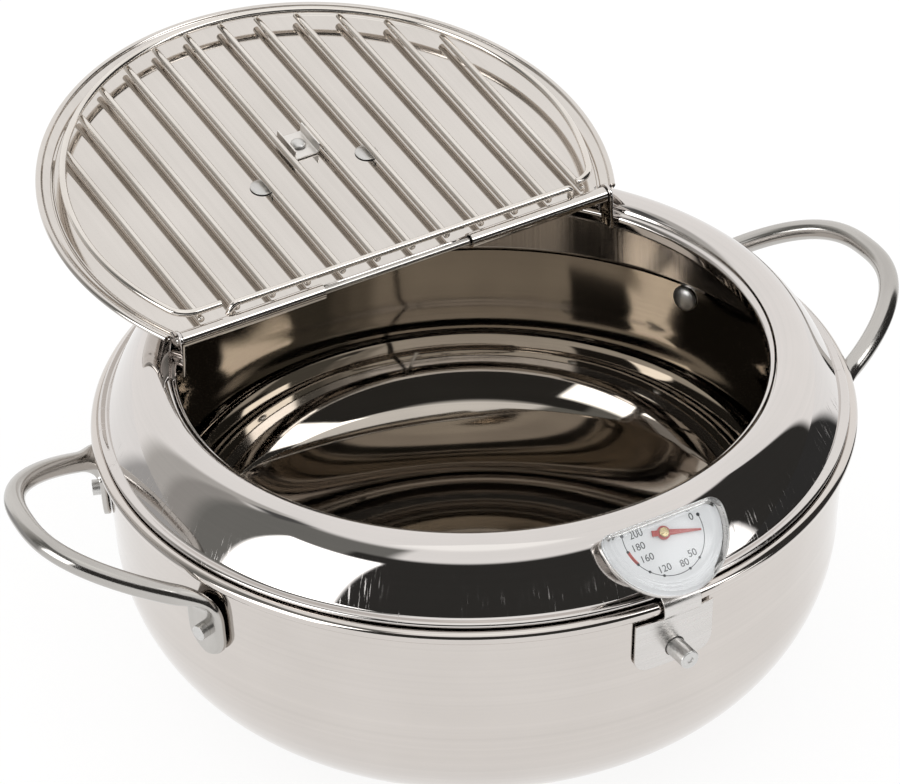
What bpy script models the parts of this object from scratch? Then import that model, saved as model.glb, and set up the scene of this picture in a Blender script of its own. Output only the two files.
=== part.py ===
"""Tempura pot of polished stainless steel, built as separate pieces.

A round pot carries a domed guard ring, a half-moon lid that folds back on a rod,
a draining rack clipped inside the lid, two loop handles and a dial thermometer.

Frame: origin at the centre of the pot's underside, +Z up, X along the lid's hinge
rod and the two handles, the thermometer on the -Y side. Lengths are in metres.
"""
import math

import bmesh
import bpy
from mathutils import Matrix, Vector

MM = 0.001

# Pot
POT_HEIGHT = 92.0 * MM          # underside to the middle of the rim bead
BASE_RADIUS = 62.0 * MM         # flat base, before the belly starts
RING_SPAN = 25.3 * MM           # guard ring's opening to the outer wall just under the bead
WALL_DROP = 3.0 * MM            # from the bead's middle to where the taper starts
WALL_HEIGHT = 33.0 * MM         # tapered stretch above the belly
WALL_TAPER = math.radians(3.4)
SHEET = 0.8 * MM
BEAD_RADIUS = 2.3 * MM

# Fits
GAP = 0.3 * MM                  # between two pieces that seat on each other
OVERRUN = 4.0 * MM              # how far a cutter passes through what it cuts

# Guard ring
FLANGE_OVER = 1.1 * MM          # flange beyond the wall
FLANGE_THICKNESS = 2.0 * MM
PLUG_CLEARANCE = 1.2 * MM       # plug to the pot's inner wall
PLUG_DEPTH = 15.5 * MM          # below the bead's middle
RING_SHEET = 0.8 * MM
DOME_SET_IN = 2.6 * MM          # dome's foot, from the flange's edge
DOME_PULL_IN = 12.2 * MM        # from the foot to the control point that the dome's curve leans to
DOME_PULL_HEIGHT = 33.5 * MM    # above the bead's middle
OPENING_RADIUS = 95.4 * MM
OPENING_HEIGHT = 20.5 * MM      # top of the opening's rolled edge, above the bead's middle
LIP_ROLL_RADIUS = 1.5 * MM
LIP_LENGTH = 3.2 * MM

# Hinge
HINGE_Y = 48.0 * MM
HINGE_RISE = 29.0 * MM          # rod above the bead's middle
LID_LEAN = math.radians(8.74)   # the open lid above the horizontal
ROD_RADIUS = 1.2 * MM
ROD_PLAY = 0.2 * MM
KNUCKLE_WALL = 0.6 * MM
KNUCKLE_START = 28.0 * MM
EAR_SET_IN = 1.445 * MM         # ears inside the opening, where it meets the rod
EAR_THICKNESS = 1.2 * MM
EAR_PLAY = 0.4 * MM             # along the rod, knuckle to ear and ear to lid corner
EAR_RADIUS = 3.4 * MM           # round the rod
EAR_ROOT = 12.0 * MM            # how far an ear reaches down, from the rod

# Lid
LID_OVERLAP = 1.6 * MM          # lid's round edge beyond the ring's opening
LID_OFFSET = 1.5 * MM           # middle of the closed lid, from the pot's
LID_SHEET = 0.8 * MM
LID_BEAD_RADIUS = 1.15 * MM
LID_FLANGE_WIDTH = 4.9 * MM
LID_STEP_WIDTH = 1.2 * MM
LID_STEP_DEPTH = 0.9 * MM       # floor below the flange
LID_HEM_DEPTH = 1.5 * MM        # turned edge between the two knuckles
CORNER_START = 1.6 * MM         # lid corners outside the ears, from the rod

# Rack
WIRE_RADIUS = 1.2 * MM
RACK_INSET = 9.0 * MM           # frame wire inside the lid's round edge
RACK_CHORD = 4.7 * MM           # ends of the frame wire, from the rod
RACK_CORNER = 9.0 * MM
BAR_COUNT = 12
BAR_PITCH_SHARE = 0.15          # of the frame wire's radius
BAR_OVERHANG = 0.8 * MM         # bar ends beyond the middle of the frame wire
BAR_TIP = 3.0 * MM              # bar ends, from the rod
BAR_LIFT = 0.9 * MM             # bars above their gap to the lid's floor, over its rivet heads
RACK_SIDE = 1.3 * MM            # bars and clip sit this far to the right of the lid's middle
RAIL_ALONG = 2.9 * MM           # rail, from the rod
RAIL_LEFT_OVER = 1.8 * MM       # rail's left bend beyond the second bar from the left
RAIL_RIGHT_OVER = 1.6 * MM      # rail's right bend beyond the middle of the last gap
RAIL_FOOT_SPREAD = 1.8 * MM     # left leg's foot beyond its bend
RAIL_BEND = 1.5 * MM
RAIL_FOOT_LIFT = 0.6 * MM       # leg ends above their gap to the floor, for the slanted left one

# Rack clip
CLIP_ALONG_SHARE = 0.701        # from the rod, of the lid's radius
CLIP_LENGTH = 12.5 * MM
CLIP_SHEET = 0.5 * MM
CLIP_LEAF_HEIGHT = 3.9 * MM
CLIP_RIVET_RADIUS = 1.4 * MM
CLIP_HEAD_RADIUS = 2.7 * MM
CLIP_HEAD_HEIGHT = 1.5 * MM

# Lid handle
LID_HANDLE_ALONG_SHARE = 0.563  # from the rod, of the lid's radius
LID_HANDLE_RIVETS = 20.2 * MM   # each rivet from the middle
LID_HANDLE_WIDTH = 12.0 * MM
LID_HANDLE_SHEET = 1.2 * MM
LID_HANDLE_HEIGHT = 10.9 * MM
LID_HANDLE_PAD = 6.0 * MM       # pad beyond its rivet, each way
LID_HANDLE_SLOPE = 2.0 * MM
LID_HANDLE_BEND = 2.2 * MM
LID_RIVET_RADIUS = 2.0 * MM
LID_HEAD_RADIUS = 4.0 * MM
LID_HEAD_HEIGHT = 0.6 * MM
RIVET_TAIL_SPREAD = 1.2 * MM    # how much wider a closed tail is than its shank
RIVET_TAIL_HEIGHT = 1.1 * MM

# Pot handles
HANDLE_LEFT_ANGLE = math.radians(174.5)
HANDLE_RIGHT_ANGLE = math.radians(1.0)
HANDLE_TUBE = 3.4 * MM
HANDLE_REACH = 41.8 * MM
HANDLE_HALF = 41.2 * MM
HANDLE_DROP = 9.0 * MM          # tube's root below the bead's middle
HANDLE_RISE = math.radians(21.2)
HANDLE_REACH_POWER = 1.56
HANDLE_WIDTH_POWER = 0.79
TAB_HALF_WIDTH = 8.0 * MM
TAB_HALF_THICKNESS = 1.3 * MM
TAB_BELOW_RIVET = 9.5 * MM
TAB_ABOVE_RIVET = 5.0 * MM
RIVET_SPREAD = 42.27 * MM       # each rivet from the handle's middle
RIVET_DROP = 21.0 * MM
RIVET_RADIUS = 2.6 * MM
RIVET_HEAD_RADIUS = 4.6 * MM
RIVET_HEAD_HEIGHT = 2.0 * MM
RIVET_TAIL = 2.4 * MM
RIVET_SEAT = 0.5 * MM           # flat underside of a head to the round wall behind it

# Thermometer dial
THERMOMETER_X = -0.8 * MM
DIAL_SET_IN = 6.7 * MM          # pointer's axis inside the pot's wall
DIAL_RISE = 20.6 * MM           # dial face above the bead's middle, at the pointer
DIAL_TILT = math.radians(39.8)
DIAL_RADIUS = 22.0 * MM
DIAL_CENTRE = 1.5 * MM          # round outline's middle, from the pointer to the pot
DIAL_FLAT = 5.3 * MM            # flat side, from the pointer to the pot
DIAL_CORNER = 4.0 * MM
CASE_BACK = 1.6 * MM            # case back, below the dial face
CASE_FLOOR = 0.4 * MM
CASE_WALL = 1.0 * MM
CASE_TOP = 1.4 * MM
LENS_TOP = 3.3 * MM
LENS_BEVEL = 0.9 * MM
PLATE_THICKNESS = 0.3 * MM
POINTER_THICKNESS = 0.4 * MM
POINTER_LENGTH = 12.6 * MM
POINTER_TAIL = 3.9 * MM
POINTER_HALF_WIDTH = 0.9 * MM
POINTER_TIP_HALF_WIDTH = 0.25 * MM
POINTER_BOSS = 2.2 * MM
POINTER_ANGLE = math.radians(-14.0)
HUB_PIN_RADIUS = 0.7 * MM
HUB_CAP_RADIUS = 1.6 * MM
HUB_CAP_HEIGHT = 0.35 * MM
COIL_TURNS = 3
COIL_INNER = 1.5 * MM
COIL_PITCH = 1.0 * MM
COIL_WIRE = 0.16 * MM

# Thermometer bracket, stud and stem
BRACKET_SHEET = 0.7 * MM
PLATE_HALF_WIDTH = 14.2 * MM
PLATE_TOP_DROP = 5.4 * MM       # plate's shoulders below the bead's middle
PLATE_BOTTOM_DROP = 24.0 * MM
PLATE_CORNER = 5.0 * MM
PLATE_STANDOFF = 0.8 * MM       # plate to the pot's wall
NECK_HALF_WIDTH = 6.7 * MM
NECK_CLEARANCE = 0.9 * MM       # neck to the rim bead and to the guard ring's flange
NECK_BEND = 1.6 * MM
TONGUE_END = 0.3 * MM           # tongue's end, from the pointer outwards
TONGUE_START = 8.0 * MM
STUD_RADIUS = 3.2 * MM
STUD_DROP = 18.0 * MM
STUD_LENGTH = 8.8 * MM          # beyond the plate
STUD_CHAMFER = 0.5 * MM
STEM_RADIUS = 1.5 * MM
STEM_ALONG = 3.6 * MM           # from the pointer outwards
STEM_LENGTH = 74.0 * MM
STEM_SLOT_IN = 3.0 * MM         # slot in the ring, from the pointer's axis to the pot
STEM_SLOT_OUT = 5.6 * MM        # and outwards

# Fineness of the round shapes
POT_STEPS = 48
LID_STEPS = 48
SMALL_STEPS = 16
WIRE_SIDES = 8
SHARP = math.radians(32.0)

# Heights and radii that follow from the sizes above
WALL_RADIUS = OPENING_RADIUS + RING_SPAN
FLANGE_RADIUS = WALL_RADIUS + FLANGE_OVER
DOME_FOOT_RADIUS = FLANGE_RADIUS - DOME_SET_IN
DOME_PULL_RADIUS = DOME_FOOT_RADIUS - DOME_PULL_IN
RIVET_ANGLE = math.asin(RIVET_SPREAD / WALL_RADIUS)
LID_RADIUS = OPENING_RADIUS + LID_OVERLAP
LID_CENTRE = HINGE_Y - LID_OFFSET   # from the rod to the middle of the lid's round edge
LID_HANDLE_ALONG = LID_RADIUS * LID_HANDLE_ALONG_SHARE
CLIP_ALONG = LID_RADIUS * CLIP_ALONG_SHARE
RACK_RADIUS = LID_RADIUS - RACK_INSET
BAR_END_RADIUS = RACK_RADIUS + BAR_OVERHANG
BAR_PITCH = RACK_RADIUS * BAR_PITCH_SHARE
RAIL_LEFT = BAR_PITCH * (BAR_COUNT - 3) / 2 - RACK_SIDE + RAIL_LEFT_OVER
RAIL_RIGHT = BAR_PITCH * (BAR_COUNT - 2) / 2 + RACK_SIDE + RAIL_RIGHT_OVER
DIAL_Y = DIAL_SET_IN - WALL_RADIUS
STEM_SLOT_INNER = -DIAL_Y - STEM_SLOT_IN
STEM_SLOT_OUTER = STEM_SLOT_OUT - DIAL_Y
WALL_TOP_Z = POT_HEIGHT - WALL_DROP
BELLY_Z = WALL_TOP_Z - WALL_HEIGHT
BELLY_RADIUS = WALL_RADIUS - WALL_HEIGHT * math.tan(WALL_TAPER)
BEAD_CENTRE = WALL_RADIUS - SHEET + BEAD_RADIUS
BEAD_OUTER = BEAD_CENTRE + BEAD_RADIUS
FLANGE_Z = POT_HEIGHT + BEAD_RADIUS + GAP
FLANGE_TOP_Z = FLANGE_Z + FLANGE_THICKNESS
PLUG_RADIUS = WALL_RADIUS - SHEET - PLUG_CLEARANCE
HINGE_Z = POT_HEIGHT + HINGE_RISE
KNUCKLE_BORE = ROD_RADIUS + ROD_PLAY
KNUCKLE_RADIUS = KNUCKLE_BORE + KNUCKLE_WALL
EAR_INNER = math.sqrt(OPENING_RADIUS ** 2 - HINGE_Y ** 2) - EAR_SET_IN
KNUCKLE_END = EAR_INNER - EAR_PLAY
EAR_OUTER = EAR_INNER + EAR_THICKNESS
FLOOR_TOP = 0.0                 # the lid's floor is level with the rod's axis
FLOOR_BOTTOM = FLOOR_TOP - LID_SHEET
BAR_H = FLOOR_TOP + GAP + BAR_LIFT + WIRE_RADIUS
FRAME_WIRE_H = BAR_H + 2 * WIRE_RADIUS + GAP


def wall_outer(z):
    """Outer radius of the pot's tapered wall at height z."""
    return WALL_RADIUS - (WALL_TOP_Z - z) * math.tan(WALL_TAPER)


def material(name, rgb, metallic, roughness, alpha=1.0):
    """A Principled material of one finish."""
    mat = bpy.data.materials.new(name)
    mat.use_nodes = True
    shader = mat.node_tree.nodes["Principled BSDF"]
    shader.inputs["Base Color"].default_value = (*rgb, 1.0)
    shader.inputs["Metallic"].default_value = metallic
    shader.inputs["Roughness"].default_value = roughness
    shader.inputs["Alpha"].default_value = alpha
    mat.diffuse_color = (*rgb, alpha)
    return mat


def finish(obj, finish_values):
    """Give the object its own material and smooth shading with sharp corners kept."""
    name, rgb, metallic, roughness = finish_values[:4]
    alpha = finish_values[4] if len(finish_values) > 4 else 1.0
    obj.data.materials.append(material(obj.name + "_" + name, rgb, metallic, roughness, alpha))
    if obj.type == "MESH":
        obj.data.shade_smooth()
        obj.data.set_sharp_from_angle(angle=SHARP)
    return obj


POLISHED = ("polished_steel", (0.72, 0.69, 0.67), 1.0, 0.12)
BRUSHED = ("brushed_steel", (0.62, 0.58, 0.55), 1.0, 0.28)
RIVET_METAL = ("rivet_metal", (0.66, 0.67, 0.66), 1.0, 0.4)
BRASS = ("brass", (0.68, 0.54, 0.3), 1.0, 0.3)
RED = ("red_enamel", (0.5, 0.09, 0.08), 0.0, 0.45)
DIAL_WHITE = ("dial_enamel", (0.7, 0.74, 0.75), 0.0, 0.4)
CLEAR = ("clear_plastic", (0.85, 0.88, 0.9), 0.0, 0.05, 0.35)


def add_object(name, mesh, parent=None, location=(0.0, 0.0, 0.0)):
    """Link a mesh as a named object, under an empty where one is given."""
    obj = bpy.data.objects.new(name, mesh)
    bpy.context.scene.collection.objects.link(obj)
    obj.parent = parent
    obj.location = location
    return obj


def from_bmesh(name, bm, parent=None, location=(0.0, 0.0, 0.0)):
    """Turn a closed bmesh into a named object with its faces pointing out."""
    bmesh.ops.recalc_face_normals(bm, faces=bm.faces)
    mesh = bpy.data.meshes.new(name)
    bm.to_mesh(mesh)
    bm.free()
    return add_object(name, mesh, parent, location)


def empty(name, location, lean=0.0):
    """A frame to model in, leaned about X."""
    obj = bpy.data.objects.new(name, None)
    bpy.context.scene.collection.objects.link(obj)
    obj.location = location
    obj.rotation_euler = (lean, 0.0, 0.0)
    return obj


def turned_bmesh(profile, steps, centre=(0.0, 0.0, 0.0), axis=(0.0, 0.0, 1.0), start=(1.0, 0.0, 0.0)):
    """Spin a closed or axis-to-axis profile of (radius, height) pairs round an axis."""
    axis = Vector(axis).normalized()
    start = Vector(start).normalized()
    centre = Vector(centre)
    bm = bmesh.new()
    verts = [bm.verts.new(centre + start * r + axis * h) for r, h in profile]
    on_axis = profile[0][0] == 0.0 and profile[-1][0] == 0.0
    edges = [bm.edges.new(pair) for pair in zip(verts, verts[1:])]
    if not on_axis:
        edges.append(bm.edges.new((verts[-1], verts[0])))
    bmesh.ops.spin(bm, geom=verts + edges, cent=centre, axis=axis, angle=math.tau, steps=steps)
    bmesh.ops.remove_doubles(bm, verts=bm.verts, dist=MM / 100)
    bmesh.ops.dissolve_degenerate(bm, edges=bm.edges, dist=MM / 1000)
    return bm


def turned(name, profile, steps, parent=None, **where):
    """A turned piece."""
    return from_bmesh(name, turned_bmesh(profile, steps, **where), parent)


def arc(centre, radius, start, end, steps):
    """Points on an arc in the plane, both ends included."""
    turns = [start + (end - start) * i / steps for i in range(steps + 1)]
    return [(centre[0] + radius * math.cos(a), centre[1] + radius * math.sin(a)) for a in turns]


def loft(name, rings, parent=None, closed=False):
    """A closed body through rings of points: capped at both ends, or joined end to end."""
    bm = bmesh.new()
    loops = [[bm.verts.new(p) for p in ring] for ring in rings]
    pairs = list(zip(loops, loops[1:]))
    if closed:
        pairs.append((loops[-1], loops[0]))
    for one, two in pairs:
        count = len(one)
        for i in range(count):
            j = (i + 1) % count
            bm.faces.new((one[i], one[j], two[j], two[i]))
    if not closed:
        bm.faces.new(loops[0])
        bm.faces.new(loops[-1])
    bmesh.ops.triangulate(bm, faces=[f for f in bm.faces if len(f.verts) > 4])
    return from_bmesh(name, bm, parent)


def rounded_path(points, radius, steps=4):
    """A polyline whose corners are rounded by quadratic curves of about the given radius."""
    points = [Vector(p) for p in points]
    path = [points[0]]
    for before, corner, after in zip(points, points[1:], points[2:]):
        reach = min(radius, (before - corner).length / 2, (after - corner).length / 2)
        p = corner + (before - corner).normalized() * reach
        q = corner + (after - corner).normalized() * reach
        for i in range(steps + 1):
            t = i / steps
            path.append(p * (1 - t) ** 2 + corner * 2 * t * (1 - t) + q * t ** 2)
    path.append(points[-1])
    return path


def wire(name, points, radius, parent=None, cyclic=False):
    """A round wire along a polyline, as a curve with a bevel and filled ends."""
    curve = bpy.data.curves.new(name, "CURVE")
    curve.dimensions = "3D"
    curve.twist_mode = "MINIMUM"
    curve.bevel_depth = radius
    curve.bevel_resolution = WIRE_SIDES // 4
    curve.use_fill_caps = not cyclic
    curve.render_resolution_u = 0
    spline = curve.splines.new("POLY")
    spline.points.add(len(points) - 1)
    for spot, point in zip(spline.points, points):
        spot.co = (*point, 1.0)
    spline.use_cyclic_u = cyclic
    spline.use_smooth = True
    obj = bpy.data.objects.new(name, curve)
    bpy.context.scene.collection.objects.link(obj)
    obj.parent = parent
    return obj


def strip(name, path, half_widths, thickness, plane, across, parent=None):
    """A bent sheet: a path in a plane, given a thickness, and a width across the plane.

    plane turns a 2D path point into 3D, across is the direction of the width.
    """
    across = Vector(across)
    rings = []
    count = len(path)
    for i in range(count):
        before = Vector(path[max(i - 1, 0)])
        after = Vector(path[min(i + 1, count - 1)])
        run = (after - before).normalized()
        side = Vector((-run[1], run[0])) * (thickness / 2)
        here = Vector(path[i])
        outer = plane(here + side)
        inner = plane(here - side)
        half = across * half_widths[i]
        rings.append([outer - half, outer + half, inner + half, inner - half])
    return loft(name, rings, parent)


def box_bmesh(low, high):
    """A box between two corners."""
    bm = bmesh.new()
    bmesh.ops.create_cube(bm, size=1.0)
    low, high = Vector(low), Vector(high)
    for v in bm.verts:
        v.co = [low[i] + (v.co[i] + 0.5) * (high[i] - low[i]) for i in range(3)]
    return bm


def as_cutter(obj):
    """Keep an object out of the model: it only shapes another piece."""
    obj.hide_render = True
    obj.display_type = "WIRE"
    return obj


def boolean(obj, other, operation):
    """Cut or join with another object, which stays as a guide."""
    mod = obj.modifiers.new(other.name, "BOOLEAN")
    mod.operation = operation
    mod.solver = "EXACT"
    mod.object = as_cutter(other)
    return mod


def drill(obj, name, centre, axis, radius, half_length, parent=None):
    """A round hole through a piece."""
    profile = [(0.0, -half_length), (radius, -half_length), (radius, half_length), (0.0, half_length)]
    start = Vector(axis).orthogonal()
    cutter = turned(name, profile, SMALL_STEPS, parent, centre=centre, axis=axis, start=start)
    boolean(obj, cutter, "DIFFERENCE")


def domed_head(radius, height, base):
    """Outline of a domed rivet head that rises from base."""
    return [(radius * math.cos(a), base + height * math.sin(a))
            for a in [math.pi / 2 * i / 4 for i in range(5)]][:-1] + [(0.0, base + height)]


def rivet(name, centre, axis, shank, head_radius, head_height, length, tail, parent=None):
    """A rivet from its domed head, at centre, to its tail, length away against the axis.

    tail holds the closed tail's radius and height.
    """
    tail_radius, tail_height = tail
    head = domed_head(head_radius, head_height, 0.0)
    under = [(0.0, -length - tail_height), (tail_radius, -length - tail_height), (tail_radius, -length)]
    body = [(shank, -length), (shank, 0.0)]
    start = Vector(axis).orthogonal()
    profile = under + (body if tail_radius > shank else body[1:]) + head
    return finish(turned(name, profile, SMALL_STEPS, parent, centre=centre, axis=axis, start=start),
                  RIVET_METAL)


def radial(angle, radius, z):
    """A point at an angle round the pot."""
    return Vector((radius * math.cos(angle), radius * math.sin(angle), z))


def wall_normal(angle):
    """Direction square to the pot's tapered wall, outwards."""
    return radial(angle, math.cos(WALL_TAPER), -math.sin(WALL_TAPER))


def ellipse_quarter(start, end, steps):
    """From a vertical tangent at start to a level tangent at end."""
    turns = [math.pi / 2 * i / steps for i in range(steps + 1)]
    return [(end[0] + (start[0] - end[0]) * math.cos(a), start[1] + (end[1] - start[1]) * math.sin(a))
            for a in turns]


def make_pot():
    """Deep drawn pot: flat base, round belly, slightly tapered wall and rolled rim bead."""
    outer_belly = ellipse_quarter((BELLY_RADIUS, BELLY_Z), (BASE_RADIUS, 0.0), 8)
    inner_belly = ellipse_quarter((BELLY_RADIUS - SHEET, BELLY_Z), (BASE_RADIUS, SHEET), 8)
    bead = arc((BEAD_CENTRE, POT_HEIGHT), BEAD_RADIUS, math.radians(-135), math.radians(180), 7)
    profile = [(0.0, 0.0)] + outer_belly[::-1] + [(WALL_RADIUS, WALL_TOP_Z)] + bead
    profile += inner_belly + [(0.0, SHEET)]
    pot = turned("pot_body", profile, POT_STEPS)
    rivet_z = POT_HEIGHT - RIVET_DROP
    for side, centre in (("left", HANDLE_LEFT_ANGLE), ("right", HANDLE_RIGHT_ANGLE)):
        for end, offset in (("front", -RIVET_ANGLE), ("back", RIVET_ANGLE)):
            angle = centre + (offset if side == "right" else -offset)
            drill(pot, f"pot_hole_{side}_{end}", radial(angle, wall_outer(rivet_z), rivet_z),
                  wall_normal(angle), RIVET_RADIUS + GAP, OVERRUN)
    return finish(pot, POLISHED)


def dome_point(t, inset=0.0):
    """A point of the guard ring's domed section, from its foot (0) to its opening (1).

    The section is a quadratic curve, and inset moves it square to itself, inwards.
    """
    foot = Vector((DOME_FOOT_RADIUS, FLANGE_TOP_Z))
    pull = Vector((DOME_PULL_RADIUS, POT_HEIGHT + DOME_PULL_HEIGHT))
    roll = Vector((OPENING_RADIUS + LIP_ROLL_RADIUS, POT_HEIGHT + OPENING_HEIGHT - LIP_ROLL_RADIUS))
    last_turn = math.radians(140)
    end = roll + Vector((math.cos(last_turn), math.sin(last_turn))) * LIP_ROLL_RADIUS
    here = foot * (1 - t) ** 2 + pull * 2 * t * (1 - t) + end * t ** 2
    run = ((pull - foot) * (1 - t) + (end - pull) * t).normalized()
    return here + Vector((-run[1], run[0])) * inset


def make_guard_ring():
    """Pressed ring: plug inside the pot, flange on the bead, domed oil guard, turned lip, hinge ears."""
    steps = 10
    outer = [tuple(dome_point(i / steps)) for i in range(steps + 1)]
    inner = [tuple(dome_point(i / steps, RING_SHEET)) for i in range(steps, -1, -1)]
    plug_z = POT_HEIGHT - PLUG_DEPTH
    lip_z = POT_HEIGHT + OPENING_HEIGHT - LIP_ROLL_RADIUS
    profile = [(PLUG_RADIUS, plug_z), (PLUG_RADIUS, FLANGE_Z), (FLANGE_RADIUS, FLANGE_Z),
               (FLANGE_RADIUS, FLANGE_TOP_Z)]
    profile += outer
    profile += [(OPENING_RADIUS, lip_z), (OPENING_RADIUS, lip_z - LIP_LENGTH),
                (OPENING_RADIUS + RING_SHEET, lip_z - LIP_LENGTH), (OPENING_RADIUS + RING_SHEET, lip_z)]
    profile += inner[1:]
    profile += [(PLUG_RADIUS - RING_SHEET, FLANGE_Z), (PLUG_RADIUS - RING_SHEET, plug_z)]
    ring = turned("guard_ring", profile, POT_STEPS)

    slot_half = STEM_RADIUS + GAP + GAP
    slot = from_bmesh("ring_stem_slot", box_bmesh(
        (THERMOMETER_X - slot_half, -STEM_SLOT_OUTER, FLANGE_TOP_Z + GAP),
        (THERMOMETER_X + slot_half, -STEM_SLOT_INNER, HINGE_Z)))
    boolean(ring, slot, "DIFFERENCE")
    for side, sign in (("left", -1), ("right", 1)):
        ear = make_ear(side, sign)
        boolean(ring, ear, "UNION")
        drill(ring, f"ring_ear_bore_{side}", (sign * (EAR_INNER + EAR_OUTER) / 2, HINGE_Y, HINGE_Z),
              (1.0, 0.0, 0.0), KNUCKLE_BORE, EAR_THICKNESS)
    return finish(ring, POLISHED)


def make_ear(side, sign):
    """Upright ear, bent up from the ring's lip, that the hinge rod passes through."""
    foot_z = HINGE_Z - EAR_ROOT
    levels = [(HINGE_Y - EAR_RADIUS, HINGE_Y + EAR_RADIUS + EAR_RADIUS, foot_z)]
    for i in range(6):
        a = math.radians(75) * i / 5
        reach = EAR_RADIUS * math.cos(a)
        levels.append((HINGE_Y - reach, HINGE_Y + reach, HINGE_Z + EAR_RADIUS * math.sin(a)))
    near, far = sign * EAR_INNER, sign * EAR_OUTER
    return loft(f"ear_shape_{side}", [[(near, y, z), (far, y, z), (far, e, z), (near, e, z)]
                                      for y, e, z in levels])


def make_hinge_rod():
    """Straight rod through both ears and the lid's knuckles."""
    half = EAR_OUTER + GAP
    profile = [(0.0, -half), (ROD_RADIUS, -half), (ROD_RADIUS, half), (0.0, half)]
    rod = turned("hinge_rod", profile, SMALL_STEPS, centre=(0.0, HINGE_Y, HINGE_Z), axis=(1.0, 0.0, 0.0),
                 start=(0.0, 1.0, 0.0))
    return finish(rod, BRUSHED)


def make_lid(pivot):
    """Half-moon lid: pressed tray with a stepped floor, rolled round edge and knuckles on its chord."""
    flange_h = FLOOR_TOP + LID_STEP_DEPTH
    bead_centre = (LID_RADIUS - LID_BEAD_RADIUS, flange_h)
    flange_in = LID_RADIUS - LID_FLANGE_WIDTH
    step_in = flange_in - LID_STEP_WIDTH
    flange_out = LID_RADIUS - 2 * LID_BEAD_RADIUS
    bead = arc(bead_centre, LID_BEAD_RADIUS, math.radians(170), math.radians(-135), 6)
    profile = [(0.0, FLOOR_TOP), (step_in, FLOOR_TOP), (flange_in, flange_h)] + bead
    profile += [(flange_out, flange_h - LID_SHEET), (flange_in, flange_h - LID_SHEET),
                (step_in, FLOOR_BOTTOM), (0.0, FLOOR_BOTTOM)]
    lid = turned("lid_tray", profile, LID_STEPS, pivot, centre=(0.0, LID_CENTRE, 0.0))

    floor_edge = KNUCKLE_BORE + KNUCKLE_WALL / 4
    far = LID_RADIUS + OVERRUN
    beyond = from_bmesh("lid_chord_cut", box_bmesh((-far, -far, -OVERRUN), (far, floor_edge, OVERRUN)), pivot)
    boolean(lid, beyond, "DIFFERENCE")
    hem = from_bmesh("lid_hem_shape", box_bmesh(
        (GAP - KNUCKLE_START, floor_edge + GAP / 2, FLOOR_BOTTOM - LID_HEM_DEPTH),
        (KNUCKLE_START - GAP, floor_edge + GAP / 2 + LID_SHEET, (FLOOR_TOP + FLOOR_BOTTOM) / 2)), pivot)
    boolean(lid, hem, "UNION")
    for side, sign in (("left", -1), ("right", 1)):
        corner = from_bmesh(f"lid_corner_cut_{side}", box_bmesh(
            (min(sign * KNUCKLE_END, sign * far), -far, -OVERRUN),
            (max(sign * KNUCKLE_END, sign * far), CORNER_START, OVERRUN)), pivot)
        boolean(lid, corner, "DIFFERENCE")
        ear_ends = (sign * KNUCKLE_END, sign * (EAR_OUTER + EAR_PLAY))
        notch = from_bmesh(f"lid_ear_notch_{side}", box_bmesh(
            (min(ear_ends), -far, -OVERRUN), (max(ear_ends), EAR_RADIUS + EAR_PLAY, OVERRUN)), pivot)
        boolean(lid, notch, "DIFFERENCE")
        knuckle = turned(f"lid_knuckle_shape_{side}", [
            (KNUCKLE_BORE, sign * KNUCKLE_START), (KNUCKLE_RADIUS, sign * KNUCKLE_START),
            (KNUCKLE_RADIUS, sign * KNUCKLE_END), (KNUCKLE_BORE, sign * KNUCKLE_END)],
            SMALL_STEPS, pivot, axis=(1.0, 0.0, 0.0), start=(0.0, 1.0, 0.0))
        boolean(lid, knuckle, "UNION")
        drill(lid, f"lid_handle_hole_{side}", (sign * LID_HANDLE_RIVETS, LID_HANDLE_ALONG, FLOOR_TOP),
              (0.0, 0.0, 1.0), LID_RIVET_RADIUS + GAP, OVERRUN, pivot)
    drill(lid, "lid_clip_hole", (RACK_SIDE, CLIP_ALONG, FLOOR_TOP), (0.0, 0.0, 1.0),
          CLIP_RIVET_RADIUS + GAP, OVERRUN, pivot)
    return finish(lid, POLISHED)


def rack_outline():
    """The frame wire's path: a round edge, two rounded corners and a straight chord."""
    corner_y = RACK_CHORD + RACK_CORNER
    corner_x = math.sqrt((RACK_RADIUS - RACK_CORNER) ** 2 - (corner_y - LID_CENTRE) ** 2)
    turn = math.atan2(corner_y - LID_CENTRE, corner_x)
    points = arc((corner_x, corner_y), RACK_CORNER, math.radians(-90), turn, 6)
    points += arc((0.0, LID_CENTRE), RACK_RADIUS, turn, math.pi - turn, 44)[1:-1]
    points += arc((-corner_x, corner_y), RACK_CORNER, math.pi - turn, math.radians(270), 6)
    points.append((-(RAIL_LEFT + RAIL_FOOT_SPREAD + WIRE_RADIUS + GAP), RACK_CHORD))
    return [(x, y, FRAME_WIRE_H) for x, y in points]


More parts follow.
